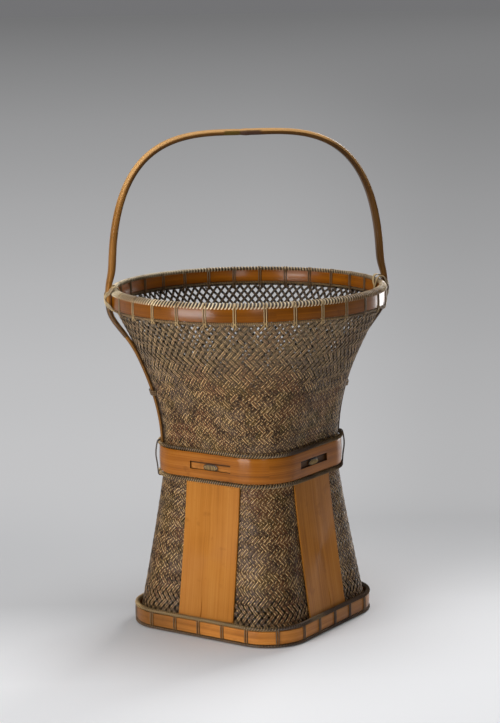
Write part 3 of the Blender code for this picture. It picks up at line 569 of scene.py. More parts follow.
pale_bamboo = bamboo_finish("pale_bamboo", (192, 130, 60), (172, 108, 38), (130, 76, 22),
                            110.0, 18.0, 0.46, 0.05, slat_foot_browning_and_shade)

slat_height = np.linspace(SLAT_BOTTOM, SLAT_TOP, 60)
slat_half = np.interp(slat_height, (SLAT_BOTTOM, SLAT_TOP), SLAT_HALF_WIDTHS)
split = np.clip((SLAT_BOTTOM + SPLIT_REACH - slat_height) / SPLIT_TAPER, 0.0, 1.0)
split_half = SPLIT_HALF + SPLIT_GROWTH * split ** 0.8
split_depth = SPLIT_DEPTH * np.clip(split * 4, 0.0, 1.0)
slat_reach = corner_reach(slat_height) - side_flat(slat_height) * SIDE_SHARE + CLEARANCE


def slat_profile(shift):
    """A slat's cross-sections from its foot up, with a narrow groove where it has split."""
    groove = shift + 0.0004 * np.sin(slat_height * 160)
    face, low = SLAT_THICKNESS, SLAT_THICKNESS - SLAT_EDGE
    return stacked(
        stacked(-slat_half, slat_half, slat_half, slat_half - SLAT_EDGE, slat_half * 0.5,
                groove + split_half, groove, groove - split_half,
                -slat_half * 0.5, SLAT_EDGE - slat_half, -slat_half),
        stacked(0.0, 0.0, low, face, face, face, face - split_depth, face, face, face, low))


for number, side_name in enumerate(SIDES):
    facing, across = side_ways(number)
    centre = (facing * slat_reach[:, None] + across * SLAT_SHIFT + UPWARD * slat_height[:, None])[None]
    add_piece("split_slat_" + side_name, carried(centre, facing, slat_profile(SPLITS[number])),
              pale_bamboo, "pale_bamboo", "slat_" + side_name, first=number * 3)

# Foot band and its rolls
# A flat bamboo band stands round the foot. A roll of cane, wound close with split cane, sits on its
# upper edge and a thinner, darker one under it, and pairs of strands lash the three together.

FOOT_BAND_HEIGHTS, FOOT_BAND_OFFSETS = (0.0035, 0.0165), (0.0021, 0.0041)
EDGE_ROLL_HEIGHTS, EDGE_ROLL_OFFSETS, EDGE_ROLL_WRAPS = (0.0, 0.0034), (0.0021, 0.0054), 250
FOOT_ROLL_LOW = 0.0168
FOOT_ROLL_HEIGHTS, FOOT_ROLL_OFFSETS = (FOOT_ROLL_LOW - 0.0002, 0.0213), (0.0021, 0.0069)
FOOT_ROLL_WRAPS = 275
FOOT_LASHINGS, FOOT_LASHING_GAP = 24, 0.00125
FOOT_LASHING_MIDDLE, FOOT_LASHING_HALF = (0.0033, 0.0105), (0.0020, 0.0076)     # offset and height
LASHING_STRAND = (0.0013, 0.0007)     # width and thickness
CORE_PROFILE = level_way(np.arange(12) * math.pi / 6)[:, :2]
STRAND_PROFILE = np.array([(-0.5, -0.5), (0.5, -0.5), (0.42, 0.15), (0.0, 0.5), (-0.42, 0.15)])


def cane_finish(name, pale, dark, stain_and_shade, right_side=0.0):
    """Split cane: pale straw with a shiny skin, brown where it is handled or lies in shadow.

    The point value shade, where a piece has it, gives painted shade on the strand's inner side, and
    right_side is how much painted shade the cane takes on the right of the basket. The strand's sides
    and underside are darkened with painted shade."""
    made = Finish(name, IOR=1.5)
    length, number, across, chance = made.strand()
    place = made.place()
    fibre = made.noise(made.point(length * 120.0, across * 14.0, number * 5.3), 1.0, 2.0)
    cloud = made.noise(place, 90.0, 3.0)
    wear_and_shade = made.between(made.noise(place, 16.0, 2.0), 0.45, 0.68) * 0.7 + made.value("shade") * 0.75
    wear_and_shade = (wear_and_shade + made.between(made.part(place, 0), -0.06, 0.04) * right_side).kept()
    level = (fibre * 0.6 + cloud * 0.7 + chance * 0.3 - 0.3).kept()
    # Wear, painted shade on the inner side and on the right of the basket, and painted shade on the strand's
    # sides and underside.
    colour = made.tinted(made.mixed(level, paint(*dark), paint(*pale)), (wear_and_shade, stain_and_shade),
                         (made.between((across - 0.6).size(), 0.14, 0.19) * 0.8, (50, 34, 20)))
    return made.done(colour, cloud * 0.25 + 0.3, fibre, 0.00008)


roll_cane = cane_finish("roll_cane", (248, 214, 152), (186, 142, 82), (78, 52, 24), 0.75)
foot_cane = cane_finish("foot_cane", (142, 106, 60), (84, 58, 30), (62, 42, 20), 0.3)
dark_cane = cane_finish("dark_cane", (84, 60, 34), (44, 30, 16), (30, 20, 10))


def add_strands(name, centre, facing, size, finish, node, closed=False, **values):
    """Split cane of a width and thickness, carried along paths."""
    add_piece(name, carried(centre, facing, STRAND_PROFILE * size, closed), finish, "split_cane", node,
              closed=closed, smooth=60.0, **values)


def wound_path(outline, heights, offsets, wraps, steps, chevron, hang):
    """A strand wound round a hoop's roll.

    With phase going round once for each wrap, the strand lies at height middle + half height x
    sin(phase) and offset middle + half width x cos(phase). It runs ahead along the roll by
    chevron x pitch x cos(phase - 45 degrees), which leans it both ways from the roll's shoulder.
    The outer side hangs lower than the inner one, by hang x (1 + cos(phase)) / 2."""
    share = np.arange(wraps * steps)[None, :] / (wraps * steps)
    phase = share * wraps * 2 * math.pi
    ahead = share + chevron / wraps * np.cos(phase - math.pi / 4)
    x, y, turn = round_square(ahead % 1.0, *outline)
    half_high, half_wide = (heights[1] - heights[0]) / 2, (offsets[1] - offsets[0]) / 2
    offset = sum(offsets) / 2 + half_wide * np.cos(phase)
    height = sum(heights) / 2 + half_high * np.sin(phase) - hang * (1.0 + np.cos(phase)) / 2
    centre = stacked(x, y, height) + level_way(turn) * offset[..., None]
    facing = level_way(turn) * (half_high * np.cos(phase))[..., None]
    return centre, unit(facing + UPWARD * (half_wide * np.sin(phase))[..., None])


def add_roll(name, outline, heights, offsets, wraps, fill, finish, node, steps=12, chevron=0.0,
             thickness=0.0009, hang=0.0):
    """A wound roll: a dark core, and one strand wound over it that fills a share of each wrap."""
    (low, high), (inner, outer) = heights, offsets
    centre, facing = round_path(outline, 360)
    profile = CORE_PROFILE * ((high - low) / 2 - thickness, (outer - inner) / 2 - thickness)
    profile = profile + ((low + high) / 2, (inner + outer) / 2)
    profile = profile - stacked(hang * (1.0 + CORE_PROFILE[:, 1]) / 2, 0.0)
    add_piece(name + "_core", carried(centre, facing, profile, True), dark_cane, "split_cane", node,
              closed=True, smooth=60.0)
    lap = thickness / 2
    pitch = girth(outline[0] + outer, outline[1]) / wraps
    centre, facing = wound_path(outline, (low + lap, high - lap), (inner + lap, outer - lap), wraps, steps,
                                chevron, hang)
    add_strands(name + "_winding", centre, facing, (pitch * fill, thickness), finish, node, closed=True)


def foot_band_painted_shade(made, colour, x, z, across):
    """Painted shade: the band is darker at its left and right corners."""
    left, right = 1.0 - made.between(x, -0.115, -0.05), made.between(x, 0.02, 0.09)
    return made.tinted(colour, (left * 0.6 + right * 0.35, DIRT_AND_SHADE))


foot_bamboo = bamboo_finish("foot_bamboo", (210, 144, 72), (182, 114, 44), (116, 64, 16),
                            60.0, 12.0, 0.36, 0.3, foot_band_painted_shade)
add_band("foot_outer_band", foot_outline,
         strip_profile(FOOT_BAND_HEIGHTS, FOOT_BAND_OFFSETS, 0.0004, 0.0004), foot_bamboo, "foot_band")
add_roll("foot_edge_roll", foot_outline, EDGE_ROLL_HEIGHTS, EDGE_ROLL_OFFSETS, EDGE_ROLL_WRAPS, 0.4,
         foot_cane, "foot_edge_roll", steps=9, thickness=0.0007)
add_roll("foot_roll", (corner_reach(FOOT_ROLL_LOW), side_flat(FOOT_ROLL_LOW)), FOOT_ROLL_HEIGHTS,
         FOOT_ROLL_OFFSETS, FOOT_ROLL_WRAPS, 0.33, roll_cane, "foot_binding", chevron=0.4)


def signed_power(values, power):
    """Numbers with their size raised to a power and their sign kept."""
    return np.sign(values) * np.abs(values) ** power


def ring_path(places, outline, gap, middle, half, power, hang=0.0):
    """Closed loops round a hoop's stack, upright in pairs, and how far inside the hoop each step lies.

    At each place a loop is a superellipse in the plane of the outward and upward directions:
    offset and height go as the signed power of the cosine and sine. The loops of a pair stand a gap
    to either side along the hoop, and hang lowers the outer side of a loop's top."""
    x, y, turn = round_square(places[:, None] % 1.0, *outline)
    angle = np.arange(28)[None, :] * 2 * math.pi / 28
    wide, tall = signed_power(np.cos(angle), power), signed_power(np.sin(angle), power)
    height = middle[1] + half[1] * tall - hang * (1.0 + wide) / 2 * np.clip(tall, 0.0, 1.0)
    loop = (stacked(x, y, 0.0) + level_way(turn) * (middle[0] + half[0] * wide)[..., None]
            + UPWARD * height[..., None])
    level = level_way(turn + math.pi / 2)
    facing = unit(level_way(turn) * (wide / half[0])[..., None] + UPWARD * (tall / half[1])[..., None])
    shade = np.broadcast_to(np.clip(-wide * 3, 0.0, 1.0), (2 * len(places), angle.size))
    return np.concatenate([loop - level * gap, loop + level * gap]), np.concatenate([facing, facing]), shade


centre, facing, shade = ring_path(np.arange(FOOT_LASHINGS) / FOOT_LASHINGS, foot_outline, FOOT_LASHING_GAP,
                                  FOOT_LASHING_MIDDLE, FOOT_LASHING_HALF, 0.45)
add_strands("foot_lashings", centre, facing, LASHING_STRAND, foot_cane, "foot_binding", True, shade=shade)

# Waist
# Where the body is narrowest, a bamboo band with a window in each side is bound between two wound
# rolls. A thin backing hoop lies behind it, and a flat cane knot ties it down inside each window.

BACKING_HEIGHTS, BACKING_OFFSETS = (0.1605, 0.1835), (0.0003, 0.0013)
BAND_LOW, BAND_HIGH = 0.159, 0.185
BAND_INNER, BAND_OUTER, BAND_CROWN = 0.0016, 0.0036, 0.0006
WINDOW_HALF, WINDOW_RISE, WINDOW_SHIFT = 0.0235, 0.0038, 0.004
BAND_ROWS = np.array([BAND_LOW, 0.1608, 0.163, 0.1655, WAIST_MIDDLE - WINDOW_RISE, WAIST_MIDDLE,
                      WAIST_MIDDLE + WINDOW_RISE, 0.1785, 0.181, 0.1832, BAND_HIGH])
WAIST_ROLLS = (("waist_roll_top", 0.1853), ("waist_roll_bottom", 0.1542))
WAIST_ROLL_RISE, WAIST_ROLL_OFFSETS, WAIST_ROLL_WRAPS = 0.0045, (0.0016, 0.0050), 206
KNOT_HALF, KNOT_RISE, KNOT_DEPTH, KNOT_WRAPS = 0.0080, 0.0024, 0.0008, 9
KNOT_PROUD, KNOT_DROP, KNOT_SINK = 0.0009, 0.001, 0.0002
KNOT_CORE_HALF, KNOT_CORE = 0.0086, (0.0033, 0.0006)
waist_outline = WAIST_REACH, WAIST_FLAT
waist_quarter = girth(*waist_outline) / 4

cut_bamboo = bamboo_finish("cut_bamboo", (104, 62, 24), (70, 40, 14), (44, 24, 8), 40.0, 8.0, 0.6, 0.0)


def backing_painted_shade(made, colour, x, z, across):
    """Painted shade lies along the windows' upper edges, and all over the backing on the right."""
    line = made.between(z, WAIST_MIDDLE + 0.0014, WAIST_MIDDLE + 0.0026) * 0.9
    return made.tinted(colour, ((line + made.between(x, 0.01, 0.03) * 0.85).kept(), DIRT_AND_SHADE))


backing_bamboo = bamboo_finish("backing_bamboo", (196, 132, 66), (166, 102, 40), (106, 60, 18),
                               60.0, 12.0, 0.45, 0.1, backing_painted_shade)
add_band("waist_backing_hoop", waist_outline, strip_profile(BACKING_HEIGHTS, BACKING_OFFSETS),
         backing_bamboo, "waist_backing")


def window_ends():
    """The two ends of each window, as shares of the way round the waist."""
    side = np.arange(4)[:, None]
    middle = 0.5 + np.where(side % 2, WINDOW_SHIFT, -WINDOW_SHIFT) / waist_quarter
    return (side + middle + np.array([-WINDOW_HALF, WINDOW_HALF]) / waist_quarter) / 4


def windowed_band():
    """The waist band: a grid of the outer face with the windows' cells left out, then thickened."""
    ends = window_ends()
    share = np.unique(np.concatenate([np.arange(320) / 320, ends.ravel()]))
    bulge = BAND_CROWN * ((BAND_ROWS - WAIST_MIDDLE) / (BAND_HIGH - WAIST_MIDDLE)) ** 2
    x, y, _ = round_square(share[:, None], WAIST_REACH + BAND_OUTER - bulge, WAIST_FLAT)
    number = np.arange(x.size).reshape(x.shape)
    after = np.roll(number, -1, axis=0)
    quads = stacked(number[:, :-1], after[:, :-1], after[:, 1:], number[:, 1:])
    there = np.append(share[1:], 1.0)
    middle = (share + there)[:, None] / 2
    inside = ((middle > ends[:, 0]) & (middle < ends[:, 1])).any(axis=1)
    open_rows = np.abs((BAND_ROWS[1:] + BAND_ROWS[:-1]) / 2 - WAIST_MIDDLE) < WINDOW_RISE
    solid = ~(inside[:, None] & open_rows)
    across = (BAND_ROWS - BAND_LOW) / (BAND_HIGH - BAND_LOW) * 0.45 + 0.5
    maps = stacked(stacked(share, there, there, share)[:, None] * waist_quarter * 4,
                   stacked(across[:-1], across[:-1], across[1:], across[1:]))[solid]
    mesh = bpy.data.meshes.new("waist_band_face")
    mesh.from_pydata(stacked(x, y, BAND_ROWS).reshape(-1, 3), [], quads[solid].astype(int).tolist())
    mesh.uv_layers.new(name="UVMap").uv.foreach_set("vector", maps.ravel())
    return mesh


waist_face = windowed_band()
waist_piece = finished("waist_windowed_band", waist_face, polished_bamboo, "waist_band",
                       "basket", 38.0)
waist_face.materials.append(cut_bamboo)
thicken = waist_piece.modifiers.new("thickness", "SOLIDIFY")
thicken.thickness = BAND_OUTER - BAND_INNER
thicken.offset = -1.0
thicken.material_offset_rim = 1
soften = waist_piece.modifiers.new("edges", "BEVEL")
soften.width = 0.0003
soften.segments = 2
soften.limit_method = "ANGLE"
soften.angle_limit = math.radians(40)

for roll_name, roll_low in WAIST_ROLLS:
    add_roll(roll_name, waist_outline, (roll_low, roll_low + WAIST_ROLL_RISE), WAIST_ROLL_OFFSETS,
             WAIST_ROLL_WRAPS, 0.26, roll_cane, roll_name, chevron=0.3)


def knot_winding(origin, along, facing):
    """A flat knot: a strand wound as a flattened helix, its turns smaller towards both ends.

    Along the knot the strand lies at half x share, and round it at rise x sin and depth x cos of
    its phase, both scaled by 1 - 0.8 share^4."""
    share = np.linspace(-1.0, 1.0, KNOT_WRAPS * 12)[None, :, None]
    phase = share * KNOT_WRAPS * math.pi
    full = 1.0 - np.abs(share) ** 4 * 0.8
    centre = (origin + along * share * KNOT_HALF + facing * np.cos(phase) * KNOT_DEPTH * full
              + UPWARD * np.sin(phase) * KNOT_RISE * full)
    return centre, unit(facing * np.cos(phase) / KNOT_DEPTH + UPWARD * np.sin(phase) / KNOT_RISE)


golden_cane = cane_finish("golden_cane", (214, 176, 104), (150, 110, 52), (104, 74, 34))
knot_reach = WAIST_REACH - WAIST_FLAT * SIDE_SHARE + BAND_INNER + KNOT_PROUD
for number, side_name in enumerate(SIDES):
    facing, across = side_ways(number)
    origin = facing * knot_reach + across * WINDOW_SHIFT + UPWARD * (WAIST_MIDDLE - KNOT_DROP)
    centre, look = knot_winding(origin, across, facing)
    add_strands("window_knot_winding_" + side_name, centre, look, (0.0010, 0.0006), golden_cane,
                "window_knot_" + side_name, first=number)
    share = np.linspace(-1.0, 1.0, 17)[None, :, None]
    centre = origin - facing * KNOT_SINK + across * share * KNOT_CORE_HALF
    full = np.sqrt(1.0 - 0.9 * share ** 4)[..., None]
    add_piece("window_knot_core_" + side_name, carried(centre, facing, CORE_PROFILE * KNOT_CORE * full),
              dark_cane, "split_cane", "window_knot_" + side_name, first=number, smooth=60.0)

# Rim
# The cut edge of the wall is held between an outer and an inner bamboo band, each over a thin cane.
# A roll wound with split cane covers the edge, and pairs of strands lash the whole rim together.

RIM_BAND_TOP = 0.343
OUTER_BAND_HEIGHTS, OUTER_BAND_OFFSETS = (0.3284, RIM_BAND_TOP), (0.0003, 0.0023)
INNER_BAND_HEIGHTS, INNER_BAND_OFFSETS = (0.331, RIM_BAND_TOP), (-0.0039, -0.0026)
RIM_CANES = (("rim_outer_cane", (0.3255, 0.3281), (0.0003, 0.0023)),
             ("rim_inner_cane", (0.3281, 0.3307), (-0.0043, -0.0023)))
RIM_CANE_WRAPS, RIM_ROLL_WRAPS = 470, 250
RIM_ROLL_HEIGHTS, RIM_ROLL_OFFSETS, RIM_HANG = (0.3421, 0.3478), (-0.0048, 0.0031), 0.0026
LASHING_STEP, LASHING_START, LASHING_GAP = 12.0, 1.6, 0.0011     # degrees round the rim from +X, and metres
LASHING_MIDDLE, LASHING_HALF = (-0.0009, 0.3352), (0.00395, 0.0123)     # offset and height
TIE_HALF, TIE_LOW, TIE_HIGH, TIE_OFFSET, TIE_SINK = 0.0026, 0.3238, 0.3296, 0.0026, 0.0012
mouth_outline = MOUTH_RADIUS, 0.0

rim_bamboo = bamboo_finish("rim_bamboo", (162, 94, 4), (124, 68, 0), (80, 40, 0), 50.0, 9.0, 0.36, 0.5)
# The inner band is the rim's bamboo painted brighter, a painted light on it.
inner_bamboo_painted_light = bamboo_finish("inner_bamboo_painted_light", (186, 108, 6), (146, 80, 0), (96, 48, 0), 50.0, 9.0, 0.36, 0.5)
rim_cane = cane_finish("rim_cane", (255, 240, 204), (236, 204, 154), (146, 110, 62), 0.5)
lashing_cane = cane_finish("lashing_cane", (208, 176, 120), (152, 118, 70), (108, 78, 42), 0.2)
aged_cane = cane_finish("aged_cane", (176, 140, 88), (104, 76, 40), (84, 58, 30))

add_band("rim_outer_hoop", mouth_outline,
         strip_profile(OUTER_BAND_HEIGHTS, OUTER_BAND_OFFSETS, crown=0.0003), rim_bamboo, "rim_outer_band")
add_band("rim_inner_hoop", mouth_outline,
         strip_profile(INNER_BAND_HEIGHTS, INNER_BAND_OFFSETS, crown=0.0005, lean=0.0006), inner_bamboo_painted_light,
         "rim_inner_band")
for cane_name, cane_heights, cane_offsets in RIM_CANES:
    add_roll(cane_name, mouth_outline, cane_heights, cane_offsets, RIM_CANE_WRAPS, 0.8, aged_cane, cane_name,
             steps=8, thickness=0.0005)
add_roll("rim_roll", mouth_outline, RIM_ROLL_HEIGHTS, RIM_ROLL_OFFSETS, RIM_ROLL_WRAPS, 0.48, rim_cane,
         "rim_binding", steps=16, chevron=0.45, thickness=0.0008, hang=RIM_HANG)

lashing_turns = np.array([turn for turn in range(30) if turn % 15]) * LASHING_STEP + LASHING_START
lashing_places = (lashing_turns + 90.0) / 360.0
centre, facing, shade = ring_path(lashing_places, mouth_outline, LASHING_GAP, LASHING_MIDDLE,
                                  LASHING_HALF, 0.5, RIM_HANG)
add_strands("rim_lashings", centre, facing, LASHING_STRAND, lashing_cane, "rim_binding", True, shade=shade)


def cross_ties(places):
    """Small crossed ties over the thin cane: two short bowed strands at each lashing."""
    share = np.linspace(-1.0, 1.0, 9)[None, :]
    paths, looks = [], []
    for sign in (-1, 1):
        turn = places[:, None] * 2 * math.pi - math.pi / 2 + sign * share * TIE_HALF / MOUTH_RADIUS
        radius = MOUTH_RADIUS + TIE_OFFSET - TIE_SINK * share ** 4
        height = (TIE_LOW + TIE_HIGH) / 2 + (TIE_HIGH - TIE_LOW) / 2 * share
        paths.append(stacked(np.cos(turn) * radius, np.sin(turn) * radius, height))
        looks.append(level_way(turn))
    return np.concatenate(paths), np.concatenate(looks)


add_strands("rim_cross_ties", *cross_ties(lashing_places), (0.0011, 0.0006), lashing_cane, "rim_binding")

# Handle
# One bamboo culm, split and bent over a fire into a flat arch. Its joint sits at the crown, and its
# pared tails pass outside the rim and run down two corners to end behind the upper waist roll.

HANDLE_TOP = 0.503
CROWN_HEIGHT = HANDLE_TOP - 0.0031
ARCH = np.array([(0.0, CROWN_HEIGHT), (0.055, CROWN_HEIGHT), (0.1355, CROWN_HEIGHT + 0.011),
                 (0.1385, 0.362)])
CROWN_SIZE, SHOULDER_GAIN = np.array([0.0062, 0.0105]), np.array([0.0014, 0.0025])     # thickness and width
PASSING = np.array([(0.1436, 0.350), (0.1436, 0.3433), (0.1429, 0.3357)])     # outside the roll and the band
PASSING_SIZE, PARED, THINNED = np.array([0.0052, 0.0118]), (0.0026, 0.0042), (0.0013, 0.0015)
TAIL_TOP, TAIL_END, TAIL_TOP_X, TAIL_FREE = 0.3229, 0.18755, 0.1403, 0.285
TAIL_SUNK, TAIL_SUNK_TOP, TAIL_SUNK_RUN = 0.0014, 0.31, 0.02
PARED_SHARE = 0.3
KNUCKLE = ((0.0009, 0.0, 0.003), (0.0005, 0.012, 0.010), (-0.0004, -0.006, 0.002))     # swell, place and half
KNUCKLE_SHARES = (0.8, 1.4)     # of a swell, in thickness and width


def handle_line():
    """The right half of the handle from the crown down: middle line, and thickness and width."""
    share = np.linspace(0.0, 1.0, 90)[:, None]
    rest = 1.0 - share
    arch = (ARCH[0] * rest ** 3 + ARCH[1] * 3 * rest ** 2 * share + ARCH[2] * 3 * rest * share ** 2
            + ARCH[3] * share ** 3)
    tail = np.linspace(0.0, 1.0, 60)
    height = TAIL_TOP + (TAIL_END - TAIL_TOP) * tail
    pared = np.clip(tail / PARED_SHARE, 0.0, 1.0)
    thinned = np.clip((tail - PARED_SHARE) / (1.0 - PARED_SHARE), 0.0, 1.0)
    thick, wide = (PASSING_SIZE[axis] - PARED[axis] * pared - THINNED[axis] * thinned for axis in (0, 1))
    free = np.clip((height - TAIL_FREE) / (TAIL_TOP - TAIL_FREE), 0.0, 1.0)
    stand = (TAIL_TOP_X - corner_reach(TAIL_TOP) - CLEARANCE) * free ** 2 * (3 - 2 * free)
    sunk = TAIL_SUNK * np.clip((TAIL_SUNK_TOP - height) / TAIL_SUNK_RUN, 0.0, 1.0)
    reach = corner_reach(height) + 2 * CLEARANCE + stand + (thick - sunk) / 2
    line = np.concatenate([arch, PASSING, stacked(reach, height)])
    sizes = np.concatenate([CROWN_SIZE + SHOULDER_GAIN * share ** 2, np.tile(PASSING_SIZE, (3, 1)),
                            stacked(thick + sunk, wide)])
    return line, sizes


def eased(values, rounds):
    """Values smoothed along their first axis, with the two ends held."""
    for _ in range(rounds):
        values = np.concatenate([values[:1], (values[:-2] + 2 * values[1:-1] + values[2:]) / 4, values[-1:]])
    return values


def read_at(places, knots, table):
    """A table's rows, which belong to rising knots, read at other places."""
    return stacked(*(np.interp(places, knots, column) for column in table.T))


half_line, half_sizes = handle_line()
line = np.concatenate([(half_line * (-1.0, 1.0))[:0:-1], half_line])
sizes = np.concatenate([half_sizes[:0:-1], half_sizes])
travelled = np.concatenate([[0.0], np.cumsum(np.linalg.norm(np.diff(line, axis=0), axis=1))])
even = np.linspace(0.0, travelled[-1], 520)
line, sizes = (eased(read_at(even, travelled, table), 40) for table in (line, sizes))
from_crown = even - travelled[-1] / 2
knuckle = sum(swell * np.exp(-((from_crown - place) / half) ** 2) for swell, place, half in KNUCKLE)
sizes = sizes + knuckle[:, None] * KNUCKLE_SHARES
angle = np.arange(20) * math.pi / 10
culm = stacked(-signed_power(np.cos(angle), 0.75) / 2,
               -signed_power(np.sin(angle), np.where(np.sin(angle) < 0, 0.75, 0.5)) / 2)
slope = np.gradient(line, axis=0)
centre = stacked(line[:, 0], 0.0, line[:, 1])[None]
facing = unit(stacked(-slope[:, 1], 0.0, slope[:, 0]))[None]


def handle_painted_light_shade_and_joint(made, colour, x, z, across):
    """Paler top over the upper arch, painted light; painted shade under the arch and on its inner half, more
    on the right; an olive and purple joint; painted shade over the right leg and the tails.
    """
    arch, shoulder = made.between(z, 0.345, 0.37), made.between(z, 0.42, 0.47)
    flank = made.between((across - 0.75).size(), 0.2, 0.24)
    inner = made.between(across, 0.012, 0.035) * (1.0 - made.between(across, 0.48, 0.5))
    flank_painted_shade = made.between(x, -0.03, 0.02) * 0.35 + shoulder * 0.35 + 0.08
    # Paler top of the upper arch, painted light, and painted shade under the arch and over its inner half,
    # more on the right.
    colour = made.tinted(colour, ((1.0 - flank) * shoulder * 0.65, (238, 186, 122)),
                         (inner * (shoulder * 0.5 + 0.25) * arch, (60, 38, 16)),
                         (flank * flank_painted_shade * arch, (84, 56, 26)))
    joint = made.between(x, -0.024, -0.021) * (1.0 - made.between(x, 0.012, 0.018)) * arch
    joint = joint * made.between((across - 0.75).size(), 0.13, 0.2)
    olive = 1.0 - made.between(x, -0.008, -0.005)
    colour = made.mixed(joint * 0.85, colour, made.mixed(olive, paint(78, 56, 46), paint(94, 76, 28)))
    # Painted shade over the right leg, and over the tails below the rim.
    brown = made.between(x, 0.078, 0.094) * 0.5 + (1.0 - made.between(z, 0.28, 0.31)) * (flank * 0.4 + 0.3)
    return made.tinted(colour, (brown.kept(), DIRT_AND_SHADE))


handle_bamboo = bamboo_finish("handle_bamboo", (214, 154, 80), (148, 98, 40), (50, 32, 12),
                              40.0, 18.0, 0.42, 0.12, handle_painted_light_shade_and_joint)
add_piece("bent_handle", carried(centre, facing, (culm * sizes[:, None, ::-1])[None]), handle_bamboo,
          "polished_bamboo", "handle", smooth=60.0)

# Knots and ties of the handle
# At the rim a knot of split cane crosses over each leg and round the roll. Half way down the tail a
# short tie holds it to the plait, and at the waist a strand over both rolls keeps its end in place.

LEG_KNOT_STRANDS, LEG_KNOT_HALF, LEG_KNOT_PITCH = 4, 0.0078, 0.0014
LEG_KNOT_HEIGHT, LEG_KNOT_RISE, LEG_KNOT_MIDDLE = 0.3375, 0.0122, -0.0009
LEG_KNOT_INNER, LEG_KNOT_OUTER, LEG_KNOT_LAP = 0.0046, 0.0049, 0.0002
LEG_KNOT_PROUD, LEG_KNOT_NEAR = 0.0050, 0.0075     # further out over the leg, and how near to it
TAIL_WINDING_HIGH, TAIL_WINDING_LOW, TAIL_WINDING_TURNS, TAIL_WINDING_LIFT = 0.331, 0.299, 22, 0.0002
LEG_KNOT_STRAND, TAIL_WINDING_STRAND = (0.0013, 0.0008), (0.0014, 0.0007)     # width and thickness
TAIL_TIE_STRAND, WAIST_TIE_STRAND = (0.0016, 0.0007), (0.0012, 0.0012)
TAIL_TIE_HEIGHTS, TAIL_TIE_SLOPE = (0.2382, 0.24, 0.2418), 0.1
TAIL_TIE_POINTS = np.array([(-0.001, -0.0062), (0.0012, -0.0056), (0.0036, -0.0048), (0.0043, 0.0),
                            (0.0036, 0.0048), (0.0012, 0.0056), (-0.001, 0.0062)])     # out, and along
TAIL_TIE_WAYS = np.array([(0.2, -1.0), (0.3, -1.0), (0.8, -0.6), (1.0, 0.0), (0.8, 0.6), (0.3, 1.0),
                          (0.2, 1.0)])
WAIST_TIE_SIDES = (-0.0006, 0.0006)
WAIST_TIE_POINTS = np.array([(-0.0008, 0.1907), (0.0025, 0.1907), (0.0052, 0.1900), (0.0062, 0.1875),
                             (0.0074, 0.1805), (0.0078, 0.174), (0.0062, 0.1655), (0.0056, 0.1565),
                             (0.0052, 0.1540), (0.0025, 0.1533), (-0.0008, 0.1533)])     # out, and height
WAIST_TIE_WAYS = np.array([(0.0, 1.0), (0.1, 1.0), (0.7, 0.7), (1.0, 0.1), (1.0, 0.0), (1.0, 0.0),
                           (1.0, 0.0), (1.0, -0.1), (0.7, -0.7), (0.1, -1.0), (0.0, -1.0)])

split_cane = cane_finish("split_cane", (236, 212, 164), (178, 142, 92), (132, 98, 54))


def leg_knot(sign):
    """Crossed strands round leg and rim: each a closed loop that slants over the leg's outer face.

    Round the loop, offset and height follow a superellipse, and the way along the rim swings from
    one side of the leg to the other with the sine of the phase."""
    angle = np.arange(40)[None, :] * 2 * math.pi / 40
    wide, tall = signed_power(np.cos(angle), 0.8), signed_power(np.sin(angle), 0.8)
    paths = []
    for lean in (-1, 1):
        for strand in range(LEG_KNOT_STRANDS):
            shift = (strand - (LEG_KNOT_STRANDS - 1) / 2) * LEG_KNOT_PITCH
            across = lean * LEG_KNOT_HALF * np.tanh(2.5 * np.sin(angle)) + shift
            outer = LEG_KNOT_OUTER + LEG_KNOT_PROUD * np.exp(-(across / LEG_KNOT_NEAR) ** 4)
            outer = outer + (LEG_KNOT_LAP if lean > 0 else 0.0)
            offset = np.where(wide > 0, wide * outer, wide * LEG_KNOT_INNER) + LEG_KNOT_MIDDLE
            x = sign * (np.sqrt(np.clip(MOUTH_RADIUS ** 2 - across ** 2, 0, None)) + offset)
            paths.append(stacked(x, across, LEG_KNOT_HEIGHT + tall * LEG_KNOT_RISE))
    look = unit(stacked(sign * wide / 0.006, 0.0, tall / 0.012))
    return np.concatenate(paths), np.repeat(look, len(paths), axis=0)


def tail_winding(sign):
    """A strand wound down the tail below the rim.

    With its phase going round once for each turn, it lies off the tail's middle by half the
    thickness x cos(phase) outwards and half the width x sin(phase) along the rim."""
    share = np.linspace(0.0, 1.0, TAIL_WINDING_TURNS * 16)
    phase = (share * TAIL_WINDING_TURNS * 2 * math.pi)[:, None]
    height = TAIL_WINDING_HIGH + (TAIL_WINDING_LOW - TAIL_WINDING_HIGH) * share
    leg = np.hstack([line, sizes / 2])[len(line) // 2:]
    leg = leg[np.argsort(leg[:, 1])]
    x, _, thick, wide = read_at(height, leg[:, 1], leg).T[..., None]
    out = unit(stacked(1.0, 0.0, -np.gradient(x[:, 0], height))) * (sign, 1.0, 1.0)
    side = np.array([0.0, 1.0, 0.0])
    centre = (stacked(x[:, 0] * sign, 0.0, height) + out * np.cos(phase) * (thick + TAIL_WINDING_LIFT)
              + side * np.sin(phase) * (wide + TAIL_WINDING_LIFT))
    return centre[None], unit(out * np.cos(phase) / thick + side * np.sin(phase) / wide)[None]


def clasps(ties, looks, steps):
    """Strands through a few points each, eased into curves, with the directions that they face."""
    share, knots = np.linspace(0.0, 1.0, steps), np.linspace(0.0, 1.0, len(looks))
    paths = [eased(read_at(share, knots, points), 3) for points in ties]
    return np.array(paths), unit(read_at(share, knots, looks))


